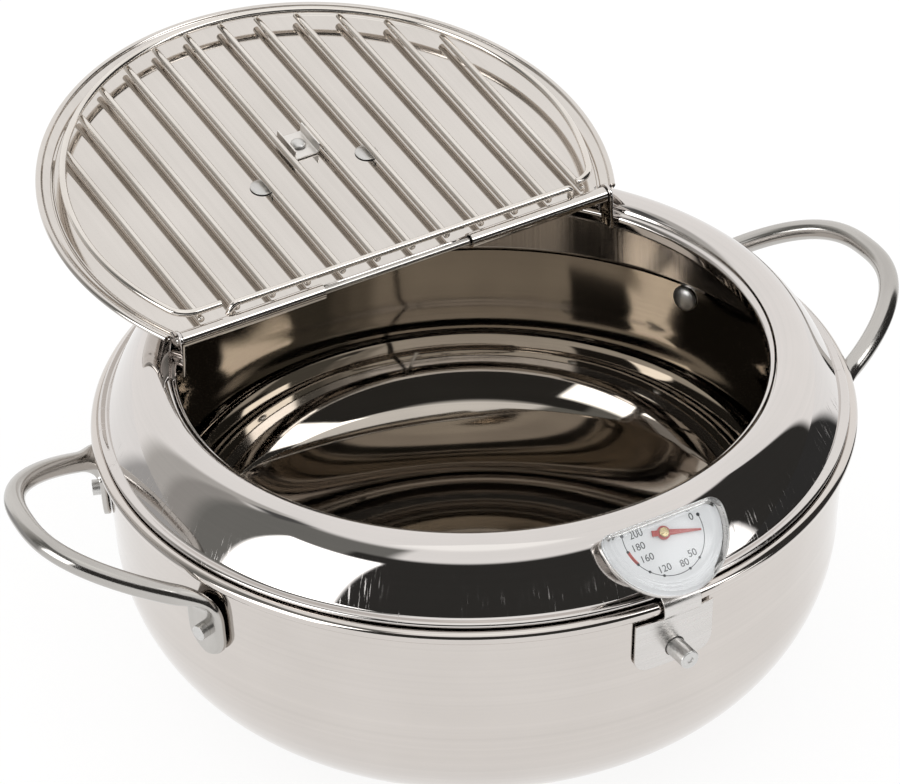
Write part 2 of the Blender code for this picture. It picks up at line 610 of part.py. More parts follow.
def make_rack(pivot):
    """Draining rack: bars, a round frame wire welded on top of them and a front rail on two legs."""
    finish(wire("rack_frame", rack_outline(), WIRE_RADIUS, pivot), BRUSHED)

    foot_h = FLOOR_TOP + GAP + RAIL_FOOT_LIFT
    path = [(-RAIL_LEFT - RAIL_FOOT_SPREAD, RAIL_ALONG, foot_h), (-RAIL_LEFT, RAIL_ALONG, FRAME_WIRE_H),
            (RAIL_RIGHT, RAIL_ALONG, FRAME_WIRE_H), (RAIL_RIGHT, RAIL_ALONG, foot_h)]
    finish(wire("rack_front_rail", rounded_path(path, RAIL_BEND), WIRE_RADIUS, pivot), BRUSHED)

    for i in range(BAR_COUNT):
        x = RACK_SIDE + (i - (BAR_COUNT - 1) / 2) * BAR_PITCH
        end = LID_CENTRE + math.sqrt(BAR_END_RADIUS ** 2 - x ** 2)
        bar = wire(f"rack_bar_{i + 1:02d}", [(x, BAR_TIP, BAR_H), (x, end, BAR_H)], WIRE_RADIUS, pivot)
        finish(bar, BRUSHED)


def make_clip(pivot):
    """Spring clip between the two middle bars, riveted to the lid's floor."""
    half = BAR_PITCH / 2 - WIRE_RADIUS - GAP - GAP
    base = FLOOR_TOP + GAP
    top = base + CLIP_LEAF_HEIGHT
    inner = half - CLIP_SHEET
    outline = [(-half, top), (-half, base), (half, base), (half, top), (inner, top),
               (inner, base + CLIP_SHEET), (-inner, base + CLIP_SHEET), (-inner, top)]
    ends = (CLIP_ALONG - CLIP_LENGTH / 2, CLIP_ALONG + CLIP_LENGTH / 2)
    clip = loft("rack_clip", [[(RACK_SIDE + x, y, h) for x, h in outline] for y in ends], pivot)
    drill(clip, "clip_hole", (RACK_SIDE, CLIP_ALONG, base), (0.0, 0.0, 1.0), CLIP_RIVET_RADIUS + GAP,
          OVERRUN, pivot)
    finish(clip, BRUSHED)
    head_base = base + CLIP_SHEET + GAP
    rivet("rack_clip_rivet", (RACK_SIDE, CLIP_ALONG, head_base), (0.0, 0.0, 1.0), CLIP_RIVET_RADIUS,
          CLIP_HEAD_RADIUS, CLIP_HEAD_HEIGHT, head_base - FLOOR_BOTTOM + GAP,
          (CLIP_RIVET_RADIUS + RIVET_TAIL_SPREAD, RIVET_TAIL_HEIGHT), pivot)


def make_lid_handle(pivot):
    """Low strap handle on the outside of the lid. The open lid leans on it."""
    pad_h = FLOOR_BOTTOM - GAP - LID_HANDLE_SHEET / 2
    crown_h = FLOOR_BOTTOM - LID_HANDLE_HEIGHT + LID_HANDLE_SHEET / 2
    pad_end = LID_HANDLE_RIVETS + LID_HANDLE_PAD
    pad_start = LID_HANDLE_RIVETS - LID_HANDLE_PAD
    crown = pad_start - LID_HANDLE_SLOPE
    path = rounded_path([(-pad_end, pad_h), (-pad_start, pad_h), (-crown, crown_h), (crown, crown_h),
                         (pad_start, pad_h), (pad_end, pad_h)], LID_HANDLE_BEND)
    halves = [LID_HANDLE_WIDTH / 2] * len(path)
    strap = strip("lid_handle", path, halves, LID_HANDLE_SHEET,
                  lambda p: Vector((p[0], LID_HANDLE_ALONG, p[1])), (0.0, 1.0, 0.0), pivot)
    for side, sign in (("left", -1), ("right", 1)):
        spot = (sign * LID_HANDLE_RIVETS, LID_HANDLE_ALONG, FLOOR_TOP + GAP)
        drill(strap, f"strap_hole_{side}", spot, (0.0, 0.0, 1.0), LID_RIVET_RADIUS + GAP, OVERRUN, pivot)
        length = FLOOR_TOP + GAP - (pad_h - LID_HANDLE_SHEET / 2) + GAP
        rivet(f"lid_handle_rivet_{side}", spot, (0.0, 0.0, 1.0), LID_RIVET_RADIUS, LID_HEAD_RADIUS,
              LID_HEAD_HEIGHT, length, (LID_RIVET_RADIUS + RIVET_TAIL_SPREAD, RIVET_TAIL_HEIGHT), pivot)
    return finish(strap, POLISHED)


def smooth_step(t):
    """0 to 1 with level ends."""
    t = min(max(t, 0.0), 1.0)
    return t * t * (3 - 2 * t)


def handle_stations():
    """Half of a pot handle: for each station its middle, half width, half thickness and squareness.

    The frame has T along the rim, O outwards and Z up, with the handle's middle at T = 0. The
    half starts at the tab's lower end and stops at the middle of the loop.
    """
    rivet_z = POT_HEIGHT - RIVET_DROP
    out = Vector((math.sin(RIVET_ANGLE), math.cos(RIVET_ANGLE), 0.0))
    up = (out * math.sin(WALL_TAPER) + Vector((0.0, 0.0, math.cos(WALL_TAPER)))).normalized()
    seat = out * (wall_outer(rivet_z) + GAP + TAB_HALF_THICKNESS) + Vector((0.0, 0.0, rivet_z))
    stations = []
    tab_steps = 7
    tab_length = TAB_BELOW_RIVET + TAB_ABOVE_RIVET
    for i in range(tab_steps + 1):
        along = tab_length * (i / tab_steps) ** 1.4
        rise = min(along / TAB_HALF_WIDTH, 1.0)
        half = TAB_HALF_WIDTH * max(math.sqrt(1 - (1 - rise) ** 2), WIRE_SIDES / 100)
        stations.append((seat + up * (along - TAB_BELOW_RIVET), half, TAB_HALF_THICKNESS, 5.0))

    root_out = math.sqrt((WALL_RADIUS + GAP + HANDLE_TUBE) ** 2 - HANDLE_HALF ** 2)

    def loop(turn):
        reach = HANDLE_REACH * math.sin(turn) ** HANDLE_REACH_POWER
        side = HANDLE_HALF * math.cos(turn) ** HANDLE_WIDTH_POWER if turn < math.pi / 2 else 0.0
        return Vector((side, root_out + reach * math.cos(HANDLE_RISE),
                       POT_HEIGHT - HANDLE_DROP + reach * math.sin(HANDLE_RISE)))

    first = 0.36
    start = stations[-1][0]
    meet = loop(first)
    heading = (loop(first + 0.02) - loop(first - 0.02)).normalized()
    pull = (meet - start).length / 2
    one, two = start + up * pull, meet - heading * pull
    bend_steps = 6
    for i in range(1, bend_steps + 1):
        t = i / bend_steps
        spot = (start * (1 - t) ** 3 + one * 3 * t * (1 - t) ** 2 + two * 3 * t * t * (1 - t) + meet * t ** 3)
        grow = smooth_step(t * 1.1)
        stations.append((spot, TAB_HALF_WIDTH + (HANDLE_TUBE - TAB_HALF_WIDTH) * grow,
                         TAB_HALF_THICKNESS + (HANDLE_TUBE - TAB_HALF_THICKNESS) * grow, 5.0 - 3.0 * grow))
    loop_steps = 12
    for i in range(1, loop_steps + 1):
        turn = first + (math.pi / 2 - first) * i / loop_steps
        stations.append((loop(turn), HANDLE_TUBE, HANDLE_TUBE, 2.0))
    return stations, out


def make_pot_handle(name, angle, flip):
    """Loop handle of steel tube, its two ends flattened into leaf-shaped tabs."""
    stations, out = handle_stations()
    side = Vector((out[1], -out[0], 0.0))
    rings = []
    count = 10
    for i, (spot, half, thick, square) in enumerate(stations):
        before = stations[max(i - 1, 0)][0]
        after = stations[i + 1][0] if i + 1 < len(stations) else Vector((-before[0], before[1], before[2]))
        run = (after - before).normalized()
        side = (side - run * side.dot(run)).normalized()
        normal = run.cross(side)
        ring = []
        for k in range(count):
            a = math.tau * (k + 0.5) / count
            u = half * math.copysign(abs(math.cos(a)) ** (2 / square), math.cos(a))
            v = thick * math.copysign(abs(math.sin(a)) ** (2 / square), math.sin(a))
            ring.append(spot + side * u + normal * v)
        rings.append(ring)
    mirrored = [[Vector((-p[0], p[1], p[2])) for p in ring] for ring in rings[:-1]]
    turn = Matrix.Rotation(angle - math.pi / 2, 4, "Z")
    rings = [[turn @ p for p in ring] for ring in rings + mirrored[::-1]]
    handle = loft(name, rings)
    rivet_z = POT_HEIGHT - RIVET_DROP
    for end, offset in (("front", -RIVET_ANGLE), ("back", RIVET_ANGLE)):
        spin = angle + (-offset if flip else offset)
        axis = wall_normal(spin)
        on_wall = radial(spin, wall_outer(rivet_z), rivet_z)
        drill(handle, f"{name}_hole_{end}", on_wall, axis, RIVET_RADIUS + GAP, OVERRUN)
        tip = 2 * TAB_HALF_THICKNESS + GAP + RIVET_TAIL
        rivet(f"{name}_rivet_{end}", on_wall - axis * (SHEET + RIVET_SEAT), -axis, RIVET_RADIUS,
              RIVET_HEAD_RADIUS, RIVET_HEAD_HEIGHT, SHEET + RIVET_SEAT + tip, (RIVET_RADIUS, GAP))
    return finish(handle, BRUSHED)


def dial_outline(inset):
    """D-shaped outline of the dial, drawn in from the case's edge."""
    radius = DIAL_RADIUS - inset
    flat = DIAL_FLAT - inset
    corner = DIAL_CORNER - inset / 2
    corner_y = flat - corner
    corner_x = math.sqrt((radius - corner) ** 2 - (corner_y - DIAL_CENTRE) ** 2)
    turn = math.atan2(corner_y - DIAL_CENTRE, corner_x)
    points = arc((-corner_x, corner_y), corner, math.radians(90), math.pi - turn, 5)
    points += arc((0.0, DIAL_CENTRE), radius, math.pi - turn, math.tau + turn, 22)[1:-1]
    points += arc((corner_x, corner_y), corner, turn, math.radians(90), 5)
    return points


def dial_rings(levels):
    """Outlines stacked as (inset, height) levels."""
    return [[(x, y, h) for x, y in dial_outline(inset)] for inset, h in levels]


def make_dial(seat):
    """Dial thermometer: case, dial plate, pointer on its hub, bimetal coil and clear cover."""
    floor = -CASE_BACK + CASE_FLOOR
    case = loft("thermometer_case", dial_rings([
        (CASE_WALL, -CASE_BACK), (0.0, -CASE_BACK + CASE_WALL), (0.0, CASE_TOP),
        (CASE_WALL, CASE_TOP), (CASE_WALL, floor)]), seat)
    finish(case, POLISHED)

    lens_base = CASE_TOP + GAP
    lens = loft("dial_lens", dial_rings([
        (0.0, lens_base), (0.0, LENS_TOP - LENS_BEVEL), (LENS_BEVEL, LENS_TOP)]), seat)
    finish(lens, CLEAR)

    edge = CASE_WALL + GAP
    plate = loft("dial_plate", dial_rings([(edge, -PLATE_THICKNESS), (edge, 0.0)]), seat)
    drill(plate, "dial_plate_hole", (0.0, 0.0, 0.0), (0.0, 0.0, 1.0), HUB_PIN_RADIUS + GAP, CASE_BACK, seat)
    finish(plate, DIAL_WHITE)

    make_pointer(seat)
    coil_h = (floor - PLATE_THICKNESS) / 2
    per_turn = 12
    points = []
    for i in range(COIL_TURNS * per_turn + 1):
        a = math.tau * i / per_turn
        r = COIL_INNER + COIL_PITCH * i / per_turn
        points.append((r * math.cos(a), r * math.sin(a), coil_h))
    finish(wire("bimetal_coil", points, COIL_WIRE, seat), BRASS)


def make_pointer(seat):
    """Flat pointer with a round boss, and the hub pin that carries it."""
    low = GAP
    high = low + POINTER_THICKNESS
    boss_turn = math.asin(POINTER_HALF_WIDTH / POINTER_BOSS)
    outline = [(POINTER_LENGTH, -POINTER_TIP_HALF_WIDTH), (POINTER_LENGTH, POINTER_TIP_HALF_WIDTH)]
    outline += arc((0.0, 0.0), POINTER_BOSS, boss_turn, math.pi - boss_turn, 7)
    outline += [(-POINTER_TAIL, POINTER_HALF_WIDTH), (-POINTER_TAIL, -POINTER_HALF_WIDTH)]
    outline += arc((0.0, 0.0), POINTER_BOSS, math.pi + boss_turn, math.tau - boss_turn, 7)
    turn = Matrix.Rotation(POINTER_ANGLE, 4, "Z")
    rings = [[turn @ Vector((x, y, h)) for x, y in outline] for h in (low, high)]
    pointer = loft("pointer", rings, seat)
    drill(pointer, "pointer_hole", (0.0, 0.0, low), (0.0, 0.0, 1.0), HUB_PIN_RADIUS + GAP, CASE_BACK, seat)
    finish(pointer, RED)

    pin_low = -PLATE_THICKNESS - GAP
    cap_low = high + GAP
    hub = turned("pointer_hub", [
        (0.0, pin_low), (HUB_PIN_RADIUS, pin_low), (HUB_PIN_RADIUS, cap_low), (HUB_CAP_RADIUS, cap_low),
        (HUB_CAP_RADIUS, cap_low + HUB_CAP_HEIGHT), (0.0, cap_low + HUB_CAP_HEIGHT)], SMALL_STEPS, seat)
    finish(hub, BRASS)


def dial_spot(outwards, height):
    """A (Y, Z) point from its place on the dial: outwards from the pointer, and above the face."""
    c, s = math.cos(DIAL_TILT), math.sin(DIAL_TILT)
    return (DIAL_Y - outwards * c - height * s, POT_HEIGHT + DIAL_RISE - outwards * s + height * c)


def bracket_path():
    """Middle of the bracket's sheet, from the plate's lower end to the tongue under the dial."""
    half = BRACKET_SHEET / 2
    low_z = POT_HEIGHT - PLATE_BOTTOM_DROP
    top_z = POT_HEIGHT - PLATE_TOP_DROP
    stand = PLATE_STANDOFF + half
    neck_out = BEAD_OUTER + NECK_CLEARANCE + half
    below = POT_HEIGHT - BEAD_RADIUS
    over_y = -(FLANGE_RADIUS - NECK_CLEARANCE)
    over_z = FLANGE_TOP_Z + NECK_CLEARANCE + NECK_CLEARANCE + half
    sheet_h = -CASE_BACK - GAP - half
    return [(-(wall_outer(low_z) + stand), low_z), (-(wall_outer(top_z) + stand), top_z),
            (-neck_out, below), (-neck_out, POT_HEIGHT + BEAD_RADIUS),
            (over_y, over_z), dial_spot(TONGUE_START, sheet_h), dial_spot(TONGUE_END, sheet_h)]


def make_bracket():
    """Sheet bracket: a plate on the stud, and a neck that hooks over the rim to carry the dial."""
    corners = bracket_path()
    low, top = Vector(corners[0]), Vector(corners[1])
    length = (top - low).length
    plate = []
    widths = []
    for i in range(6):
        s = PLATE_CORNER * (1 - math.cos(math.pi / 2 * i / 5))
        plate.append(low + (top - low) * (s / length))
        widths.append(PLATE_HALF_WIDTH - PLATE_CORNER + PLATE_CORNER * math.sin(math.pi / 2 * i / 5))
    plate += [top, top + (top - low).normalized() * GAP / 2]
    widths += [PLATE_HALF_WIDTH, NECK_HALF_WIDTH]
    neck = rounded_path([plate[-1]] + corners[2:], NECK_BEND, 3)[1:]
    widths += [NECK_HALF_WIDTH] * len(neck)
    bracket = strip("thermometer_bracket", plate + neck, widths, BRACKET_SHEET,
                    lambda p: Vector((THERMOMETER_X, p[0], p[1])), (1.0, 0.0, 0.0))
    stud_z = POT_HEIGHT - STUD_DROP
    stud_spot = (THERMOMETER_X, -wall_outer(stud_z) - STUD_RADIUS, stud_z)
    drill(bracket, "bracket_stud_hole", stud_spot, (0.0, 1.0, 0.0), STUD_RADIUS + GAP, 2 * OVERRUN)
    y, z = dial_spot(STEM_ALONG, -CASE_BACK - BRACKET_SHEET)
    out = (0.0, -math.sin(DIAL_TILT), math.cos(DIAL_TILT))
    drill(bracket, "bracket_stem_hole", (THERMOMETER_X, y, z), out, STEM_RADIUS + GAP, BRACKET_SHEET + GAP)
    return finish(bracket, POLISHED)


def make_stud():
    """Plain stud welded to the pot's wall. The bracket's plate is pushed over it."""
    z = POT_HEIGHT - STUD_DROP
    root = wall_outer(z) + GAP
    tip = wall_outer(z) + PLATE_STANDOFF + BRACKET_SHEET + STUD_LENGTH
    stud = turned("thermometer_stud", [
        (0.0, root), (STUD_RADIUS, root), (STUD_RADIUS, tip - STUD_CHAMFER),
        (STUD_RADIUS - STUD_CHAMFER, tip), (0.0, tip)], SMALL_STEPS,
        centre=(THERMOMETER_X, 0.0, z), axis=(0.0, -1.0, 0.0))
    return finish(stud, RIVET_METAL)


def make_stem(seat):
    """Sensing stem: straight tube with a round tip, square to the dial, down into the pot."""
    top = -CASE_BACK - GAP
    tip = top - STEM_LENGTH
    nose = [(STEM_RADIUS * math.sin(a), tip + STEM_RADIUS * (1 - math.cos(a)))
            for a in [math.pi / 2 * i / 5 for i in range(1, 6)]]
    stem = turned("thermometer_stem", [(0.0, tip)] + nose + [(STEM_RADIUS, top), (0.0, top)],
                  SMALL_STEPS, seat, centre=(0.0, -STEM_ALONG, 0.0))
    return finish(stem, BRUSHED)


def build():
    """Clear the scene and make every piece."""
    for obj in list(bpy.data.objects):
        bpy.data.objects.remove(obj, do_unlink=True)
    make_pot()
    make_guard_ring()
    make_hinge_rod()
    pivot = empty("lid_pivot", (0.0, HINGE_Y, HINGE_Z), LID_LEAN)
    make_lid(pivot)
    make_rack(pivot)
    make_clip(pivot)
    make_lid_handle(pivot)
    make_pot_handle("handle_left", HANDLE_LEFT_ANGLE, True)
    make_pot_handle("handle_right", HANDLE_RIGHT_ANGLE, False)
    make_stud()
    make_bracket()
    seat = empty("dial_seat", (THERMOMETER_X, DIAL_Y, POT_HEIGHT + DIAL_RISE), DIAL_TILT)
    make_dial(seat)
    make_stem(seat)


build()
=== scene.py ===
"""Looks of the tempura pot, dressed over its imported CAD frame.

The file follows the pot as it is put together: pot, guard ring, handles, lid, rack, clip and
thermometer, then the studio. Sizes are millimetres turned to metres by MM.
"""
import math

import bmesh
import bpy
import numpy as np
from mathutils import Matrix, Vector


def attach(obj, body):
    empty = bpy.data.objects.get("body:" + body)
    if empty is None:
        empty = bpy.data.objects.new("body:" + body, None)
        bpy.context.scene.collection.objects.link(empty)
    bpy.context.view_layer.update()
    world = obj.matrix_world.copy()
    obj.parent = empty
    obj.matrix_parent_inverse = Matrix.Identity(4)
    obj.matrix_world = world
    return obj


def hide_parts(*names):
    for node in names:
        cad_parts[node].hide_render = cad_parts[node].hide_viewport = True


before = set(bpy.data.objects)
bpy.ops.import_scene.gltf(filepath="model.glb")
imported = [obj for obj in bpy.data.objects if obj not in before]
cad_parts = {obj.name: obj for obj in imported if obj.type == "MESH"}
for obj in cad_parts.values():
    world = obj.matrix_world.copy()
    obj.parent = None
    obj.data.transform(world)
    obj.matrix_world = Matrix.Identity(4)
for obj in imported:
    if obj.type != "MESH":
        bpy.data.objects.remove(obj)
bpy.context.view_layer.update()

# Pot body. A disc of stainless sheet is deep drawn into a round pot: flat base, round belly and a wall
# that opens slightly to a rolled rim. The outside is buffed to a mirror, and the inside keeps the fine
# circular lines of the polishing wheel, and is duller towards the middle of its floor.
MM = 0.001
GAP = 0.3 * MM
POT_HEIGHT = 92 * MM
BASE_RADIUS = 62 * MM
WALL_RADIUS = 120.7 * MM
WALL_DROP = 3 * MM
WALL_HEIGHT = 33 * MM
WALL_TAPER = math.radians(3.4)
POT_SHEET = 0.8 * MM
BEAD_RADIUS = 2.3 * MM
KNEE_DEGREES = 40
FLOOR_TILT = math.radians(42)
WALL_TOP = POT_HEIGHT - WALL_DROP
BELLY_TOP = WALL_TOP - WALL_HEIGHT
BELLY_RADIUS = WALL_RADIUS - WALL_HEIGHT * math.tan(WALL_TAPER)
BEAD_CENTRE = WALL_RADIUS - POT_SHEET + BEAD_RADIUS
POT_COLUMNS = 240
FULL_TURN = 2 * math.pi
NO_LENGTH = 1e-12
MERGED_WITHIN = MM / 500
TONES_PER_METRE = 28.0
SWELLS_PER_METRE = 22.0
SHEET_WAVE = 0.03 * MM


def arc(centre, radius, start, end, count):
    """Points on a circle in a plane: the angle goes evenly from start to end, in degrees."""
    turn = np.radians(np.linspace(start, end, count))
    return np.stack([centre[0] + radius * np.cos(turn), centre[1] + radius * np.sin(turn)], -1)


def quarter_ellipse(side, foot, count):
    """Belly curve: upright at side, level at foot. The angle goes evenly over a quarter turn."""
    turn = np.linspace(0, math.pi / 2, count)
    reach = foot[0] + (side[0] - foot[0]) * np.cos(turn)
    return np.stack([reach, side[1] + (foot[1] - side[1]) * np.sin(turn)], -1)


def straight(start, end, count):
    """Evenly spaced points from start up to, but not at, end."""
    return np.linspace(start, end, count, endpoint=False)


def drawn(start, pull, end, t):
    """Quadratic curve from start to end, drawn towards pull."""
    return start * (1 - t) ** 2 + pull * 2 * t * (1 - t) + end * t ** 2


def once_round(count):
    """Evenly spaced angles, once round."""
    return np.arange(count) * FULL_TURN / count


def turned(section, turns):
    """Grid of a turned piece: each (radius, height) of the section is carried round Z."""
    radius, height = section[:, 0, None], section[:, 1, None]
    return np.stack([radius * np.cos(turns), radius * np.sin(turns), height + 0 * turns], -1)


def unit(vectors):
    """Vectors brought to length 1."""
    return vectors / np.maximum(np.linalg.norm(vectors, axis=-1, keepdims=True), NO_LENGTH)


def sheet(points, faces, uvs, thickness):
    """Makes a sheet of a skin: a second skin, moved square to the first, and a rim between them."""
    diagonals = points[faces[:, 2:]] - points[faces[:, :2]]
    normal = np.zeros_like(points)
    np.add.at(normal, faces.reshape(-1), np.repeat(unit(np.cross(diagonals[:, 0], diagonals[:, 1])), 4, 0))
    edges = np.stack([faces, np.roll(faces, -1, 1)], -1).reshape(-1, 2)
    edge_uvs = np.stack([uvs, np.roll(uvs, -1, 1)], 2).reshape(-1, 2, 2)
    key = edges.min(1) * len(points) + edges.max(1)
    first, count = np.unique(key, return_index=True, return_counts=True)[1:]
    rim, rim_uvs = edges[first[count == 1]], edge_uvs[first[count == 1]]
    wall = np.stack([rim[:, 1], rim[:, 0], rim[:, 0] + len(points), rim[:, 1] + len(points)], 1)
    wall_uvs = rim_uvs[:, [1, 0, 0, 1]] + np.array([[0, 0], [0, 0], [0, 1], [0, 1]]) * thickness
    return (np.concatenate([points, points - unit(normal) * thickness]),
            np.concatenate([faces, faces[:, ::-1] + len(points), wall]),
            np.concatenate([uvs, uvs[:, ::-1], wall_uvs]))


def skin(name, grid, across=True, along=False, keep=None, thickness=0.0):
    """Mesh object over a grid of points, rows along the first parameter and columns along the second.

    across joins the last column to the first, along joins the last row to the first, keep picks the
    cells that are there, and thickness makes a sheet of it. The UV map holds the distances run over
    the surface, in metres: u over the columns and v down the rows.
    """
    rows, columns = grid.shape[:2]
    place, wide = np.arange(rows * columns).reshape(rows, columns), grid
    if across:
        place, wide = np.hstack([place, place[:, :1]]), np.concatenate([wide, wide[:, :1]], 1)
    if along:
        place, wide = np.vstack([place, place[:1]]), np.concatenate([wide, wide[:1]], 0)
    step_v = np.linalg.norm(np.diff(wide, axis=0), axis=-1).mean(1)
    step_u = np.linalg.norm(np.diff(wide, axis=1), axis=-1).mean(0)
    run_v, run_u = np.append(0, np.cumsum(step_v)), np.append(0, np.cumsum(step_u))
    spread = np.stack(np.broadcast_arrays(run_u[None, :], run_v[:, None]), -1)
    faces, uvs = [np.stack([v[:-1, :-1], v[1:, :-1], v[1:, 1:], v[:-1, 1:]], 2) for v in (place, spread)]
    chosen = np.ones(faces.shape[:2], bool) if keep is None else keep
    points, faces, uvs = grid.reshape(-1, 3), faces[chosen], uvs[chosen]
    if thickness:
        points, faces, uvs = sheet(points, faces, uvs, thickness)
    used, faces = np.unique(faces, return_inverse=True)
    mesh = bpy.data.meshes.new(name)
    mesh.from_pydata(points[used].tolist(), [], faces.reshape(-1, 4).tolist())
    mesh.uv_layers.new(name="run").data.foreach_set("uv", uvs.reshape(-1).astype(np.float32))
    work = bmesh.new()
    work.from_mesh(mesh)
    bmesh.ops.remove_doubles(work, verts=work.verts, dist=MERGED_WITHIN)
    bmesh.ops.recalc_face_normals(work, faces=work.faces)
    work.to_mesh(mesh)
    work.free()
    mesh.shade_smooth()
    piece = bpy.data.objects.new(name, mesh)
    bpy.context.scene.collection.objects.link(piece)
    return piece


def dress(piece, body, material, slot, *nodes):
    """Puts a piece on its body with its finish, in place of the CAD nodes that it stands for."""
    piece.data.materials.append(material)
    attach(piece, body)
    if nodes:
        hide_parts(*nodes)
    return piece


def make(name, grid, body, material, slot, *nodes, sharp=None, **shape):
    """Makes a piece from its grid and dresses it. Corners over sharp degrees stay crisp."""
    piece = skin(name, grid, **shape)
    if sharp:
        piece.data.set_sharp_from_angle(angle=math.radians(sharp))
    return dress(piece, body, material, slot, *nodes)


def face_values(piece, what):
    """The center or the normal of each face."""
    values = np.empty(len(piece.data.polygons) * 3, np.float32)
    piece.data.polygons.foreach_get(what, values)
    return values.reshape(-1, 3).astype(float)


def finish_part(piece, material, chosen):
    """Gives the chosen faces of a piece a second finish."""
    piece.data.materials.append(material)
    piece.data.polygons.foreach_set("material_index", chosen.astype(np.int32))


def linear(hex_colour):
    """sRGB hex to linear RGBA."""
    parts = [int(hex_colour[i:i + 2], 16) / 255 for i in (1, 3, 5)]
    return (*[c / 12.92 if c <= 0.04045 else ((c + 0.055) / 1.055) ** 2.4 for c in parts], 1.0)


def feed(tree, node, inputs):
    """Gives a node's sockets their values and links. Only the sockets in use are named or counted.

    A node given as a value is linked by the first output in use.
    """
    ends = [end for end in node.inputs if end.enabled]
    for key, value in inputs.items():
        end = ends[key] if isinstance(key, int) else [end for end in ends if end.name == key][0]
        if isinstance(value, bpy.types.Node):
            value = [start for start in value.outputs if start.enabled][0]
        if isinstance(value, bpy.types.NodeSocket):
            tree.links.new(value, end)
        else:
            end.default_value = value


def add(tree, kind, inputs=None, **settings):
    """Adds a node with its settings, its values and its links."""
    made = tree.nodes.new("ShaderNode" + kind)
    for key, value in settings.items():
        setattr(made, key, value)
    feed(tree, made, inputs or {})
    return made


def finish(name):
    """A new material with its node tree and its shader."""
    material = bpy.data.materials.new(name)
    material.use_nodes = True
    return material, material.node_tree, material.node_tree.nodes["Principled BSDF"]


def from_axis(tree, part):
    """Distance from the Z axis."""
    flat = add(tree, "CombineXYZ", {0: part[0], 1: part[1]})
    return add(tree, "VectorMath", {0: flat}, operation="LENGTH")


def steel(name, dark, light, roughness, lines, grain, depth=0.02 * MM, round_lines=False, waves=0.0):
    """Stainless steel, cold rolled and then polished or brushed.

    Its tone drifts between two close greys over a few centimetres, its roughness and a bump of real
    depth follow the polishing lines, and waves is the slow unevenness of thin pressed sheet. Two lines
    stretch the grain along and across: over the UV run, or round the Z axis for turned pieces. Three
    stretch it along X, Y and Z. Each says how many grains go in a metre.
    """
    material, tree, shader = finish(name)
    place = add(tree, "TexCoord").outputs
    grains = {"Scale": 1.0, "Detail": 4.0, "Roughness": 0.62}
    if round_lines:
        part = add(tree, "SeparateXYZ", {0: place["Object"]}).outputs
        seat = add(tree, "CombineXYZ", {0: from_axis(tree, part), 1: part[2], 2: part[0]})
        spot = add(tree, "Mapping", {0: seat, "Scale": (lines[1], lines[1], lines[0])})
        streak = add(tree, "TexNoise", {"Vector": spot, "W": part[1], **grains}, noise_dimensions="4D")
    else:
        run, scale = ("Object", lines) if len(lines) == 3 else ("UV", (*lines, 1.0))
        spot = add(tree, "Mapping", {0: place[run], "Scale": scale})
        streak = add(tree, "TexNoise", {"Vector": spot, **grains})
    cloud = add(tree, "TexNoise", {"Vector": place["Object"], "Scale": TONES_PER_METRE, "Detail": 2.0})
    blend = add(tree, "Math", {0: streak, 1: cloud})
    tone = add(tree, "MapRange", {"Value": blend, "From Min": 0.7, "From Max": 1.3})
    colour = add(tree, "Mix", {"Factor": tone, "A": linear(dark), "B": linear(light)}, data_type="RGBA")
    rough = add(tree, "MapRange", {"Value": streak, "From Min": 0.3, "From Max": 0.7,
                                   "To Min": roughness[0], "To Max": roughness[1]})
    normal = add(tree, "Bump", {"Height": streak, "Strength": grain, "Distance": depth})
    if waves:
        swell = add(tree, "TexNoise", {"Vector": place["Object"], "Scale": SWELLS_PER_METRE, "Detail": 1.0})
        normal = add(tree, "Bump", {"Height": swell, "Strength": 1.0, "Distance": waves, "Normal": normal})
    feed(tree, shader, {"Base Color": colour, "Roughness": rough, "Normal": normal, "Metallic": 1.0})
    return material


def pot_section():
    """Pot wall: base, elliptical belly and tapered wall outside, round bead, and back down inside.

    Inside, the belly's ellipse ends in a faint knee, from which a quadratic curve runs into the floor.
    """
    outer = quarter_ellipse((BELLY_RADIUS, BELLY_TOP), (BASE_RADIUS, 0), 48)[::-1]
    wall = np.linspace((BELLY_RADIUS, BELLY_TOP), (WALL_RADIUS, WALL_TOP), 9)[1:]
    bead = arc((BEAD_CENTRE, POT_HEIGHT), BEAD_RADIUS, -150, 180, 30)
    side = (BELLY_RADIUS - POT_SHEET, BELLY_TOP)
    inside_wall = straight((WALL_RADIUS - POT_SHEET, WALL_TOP), side, 12)
    inner = quarter_ellipse(side, (BASE_RADIUS, POT_SHEET), 91)[:KNEE_DEGREES + 1]
    knee = inner[-1]
    pull = np.array([knee[0] - (knee[1] - POT_SHEET) / math.tan(FLOOR_TILT), POT_SHEET])
    flat_start = pull - [np.linalg.norm(knee - pull), 0]
    into_floor = drawn(knee, pull, flat_start, np.linspace(0, 1, 50)[1:, None])
    return np.concatenate([straight((0, 0), (BASE_RADIUS, 0), 6), outer, wall, bead, inside_wall, inner,
                           into_floor, np.linspace(flat_start, (0, POT_SHEET), 7)[1:]])


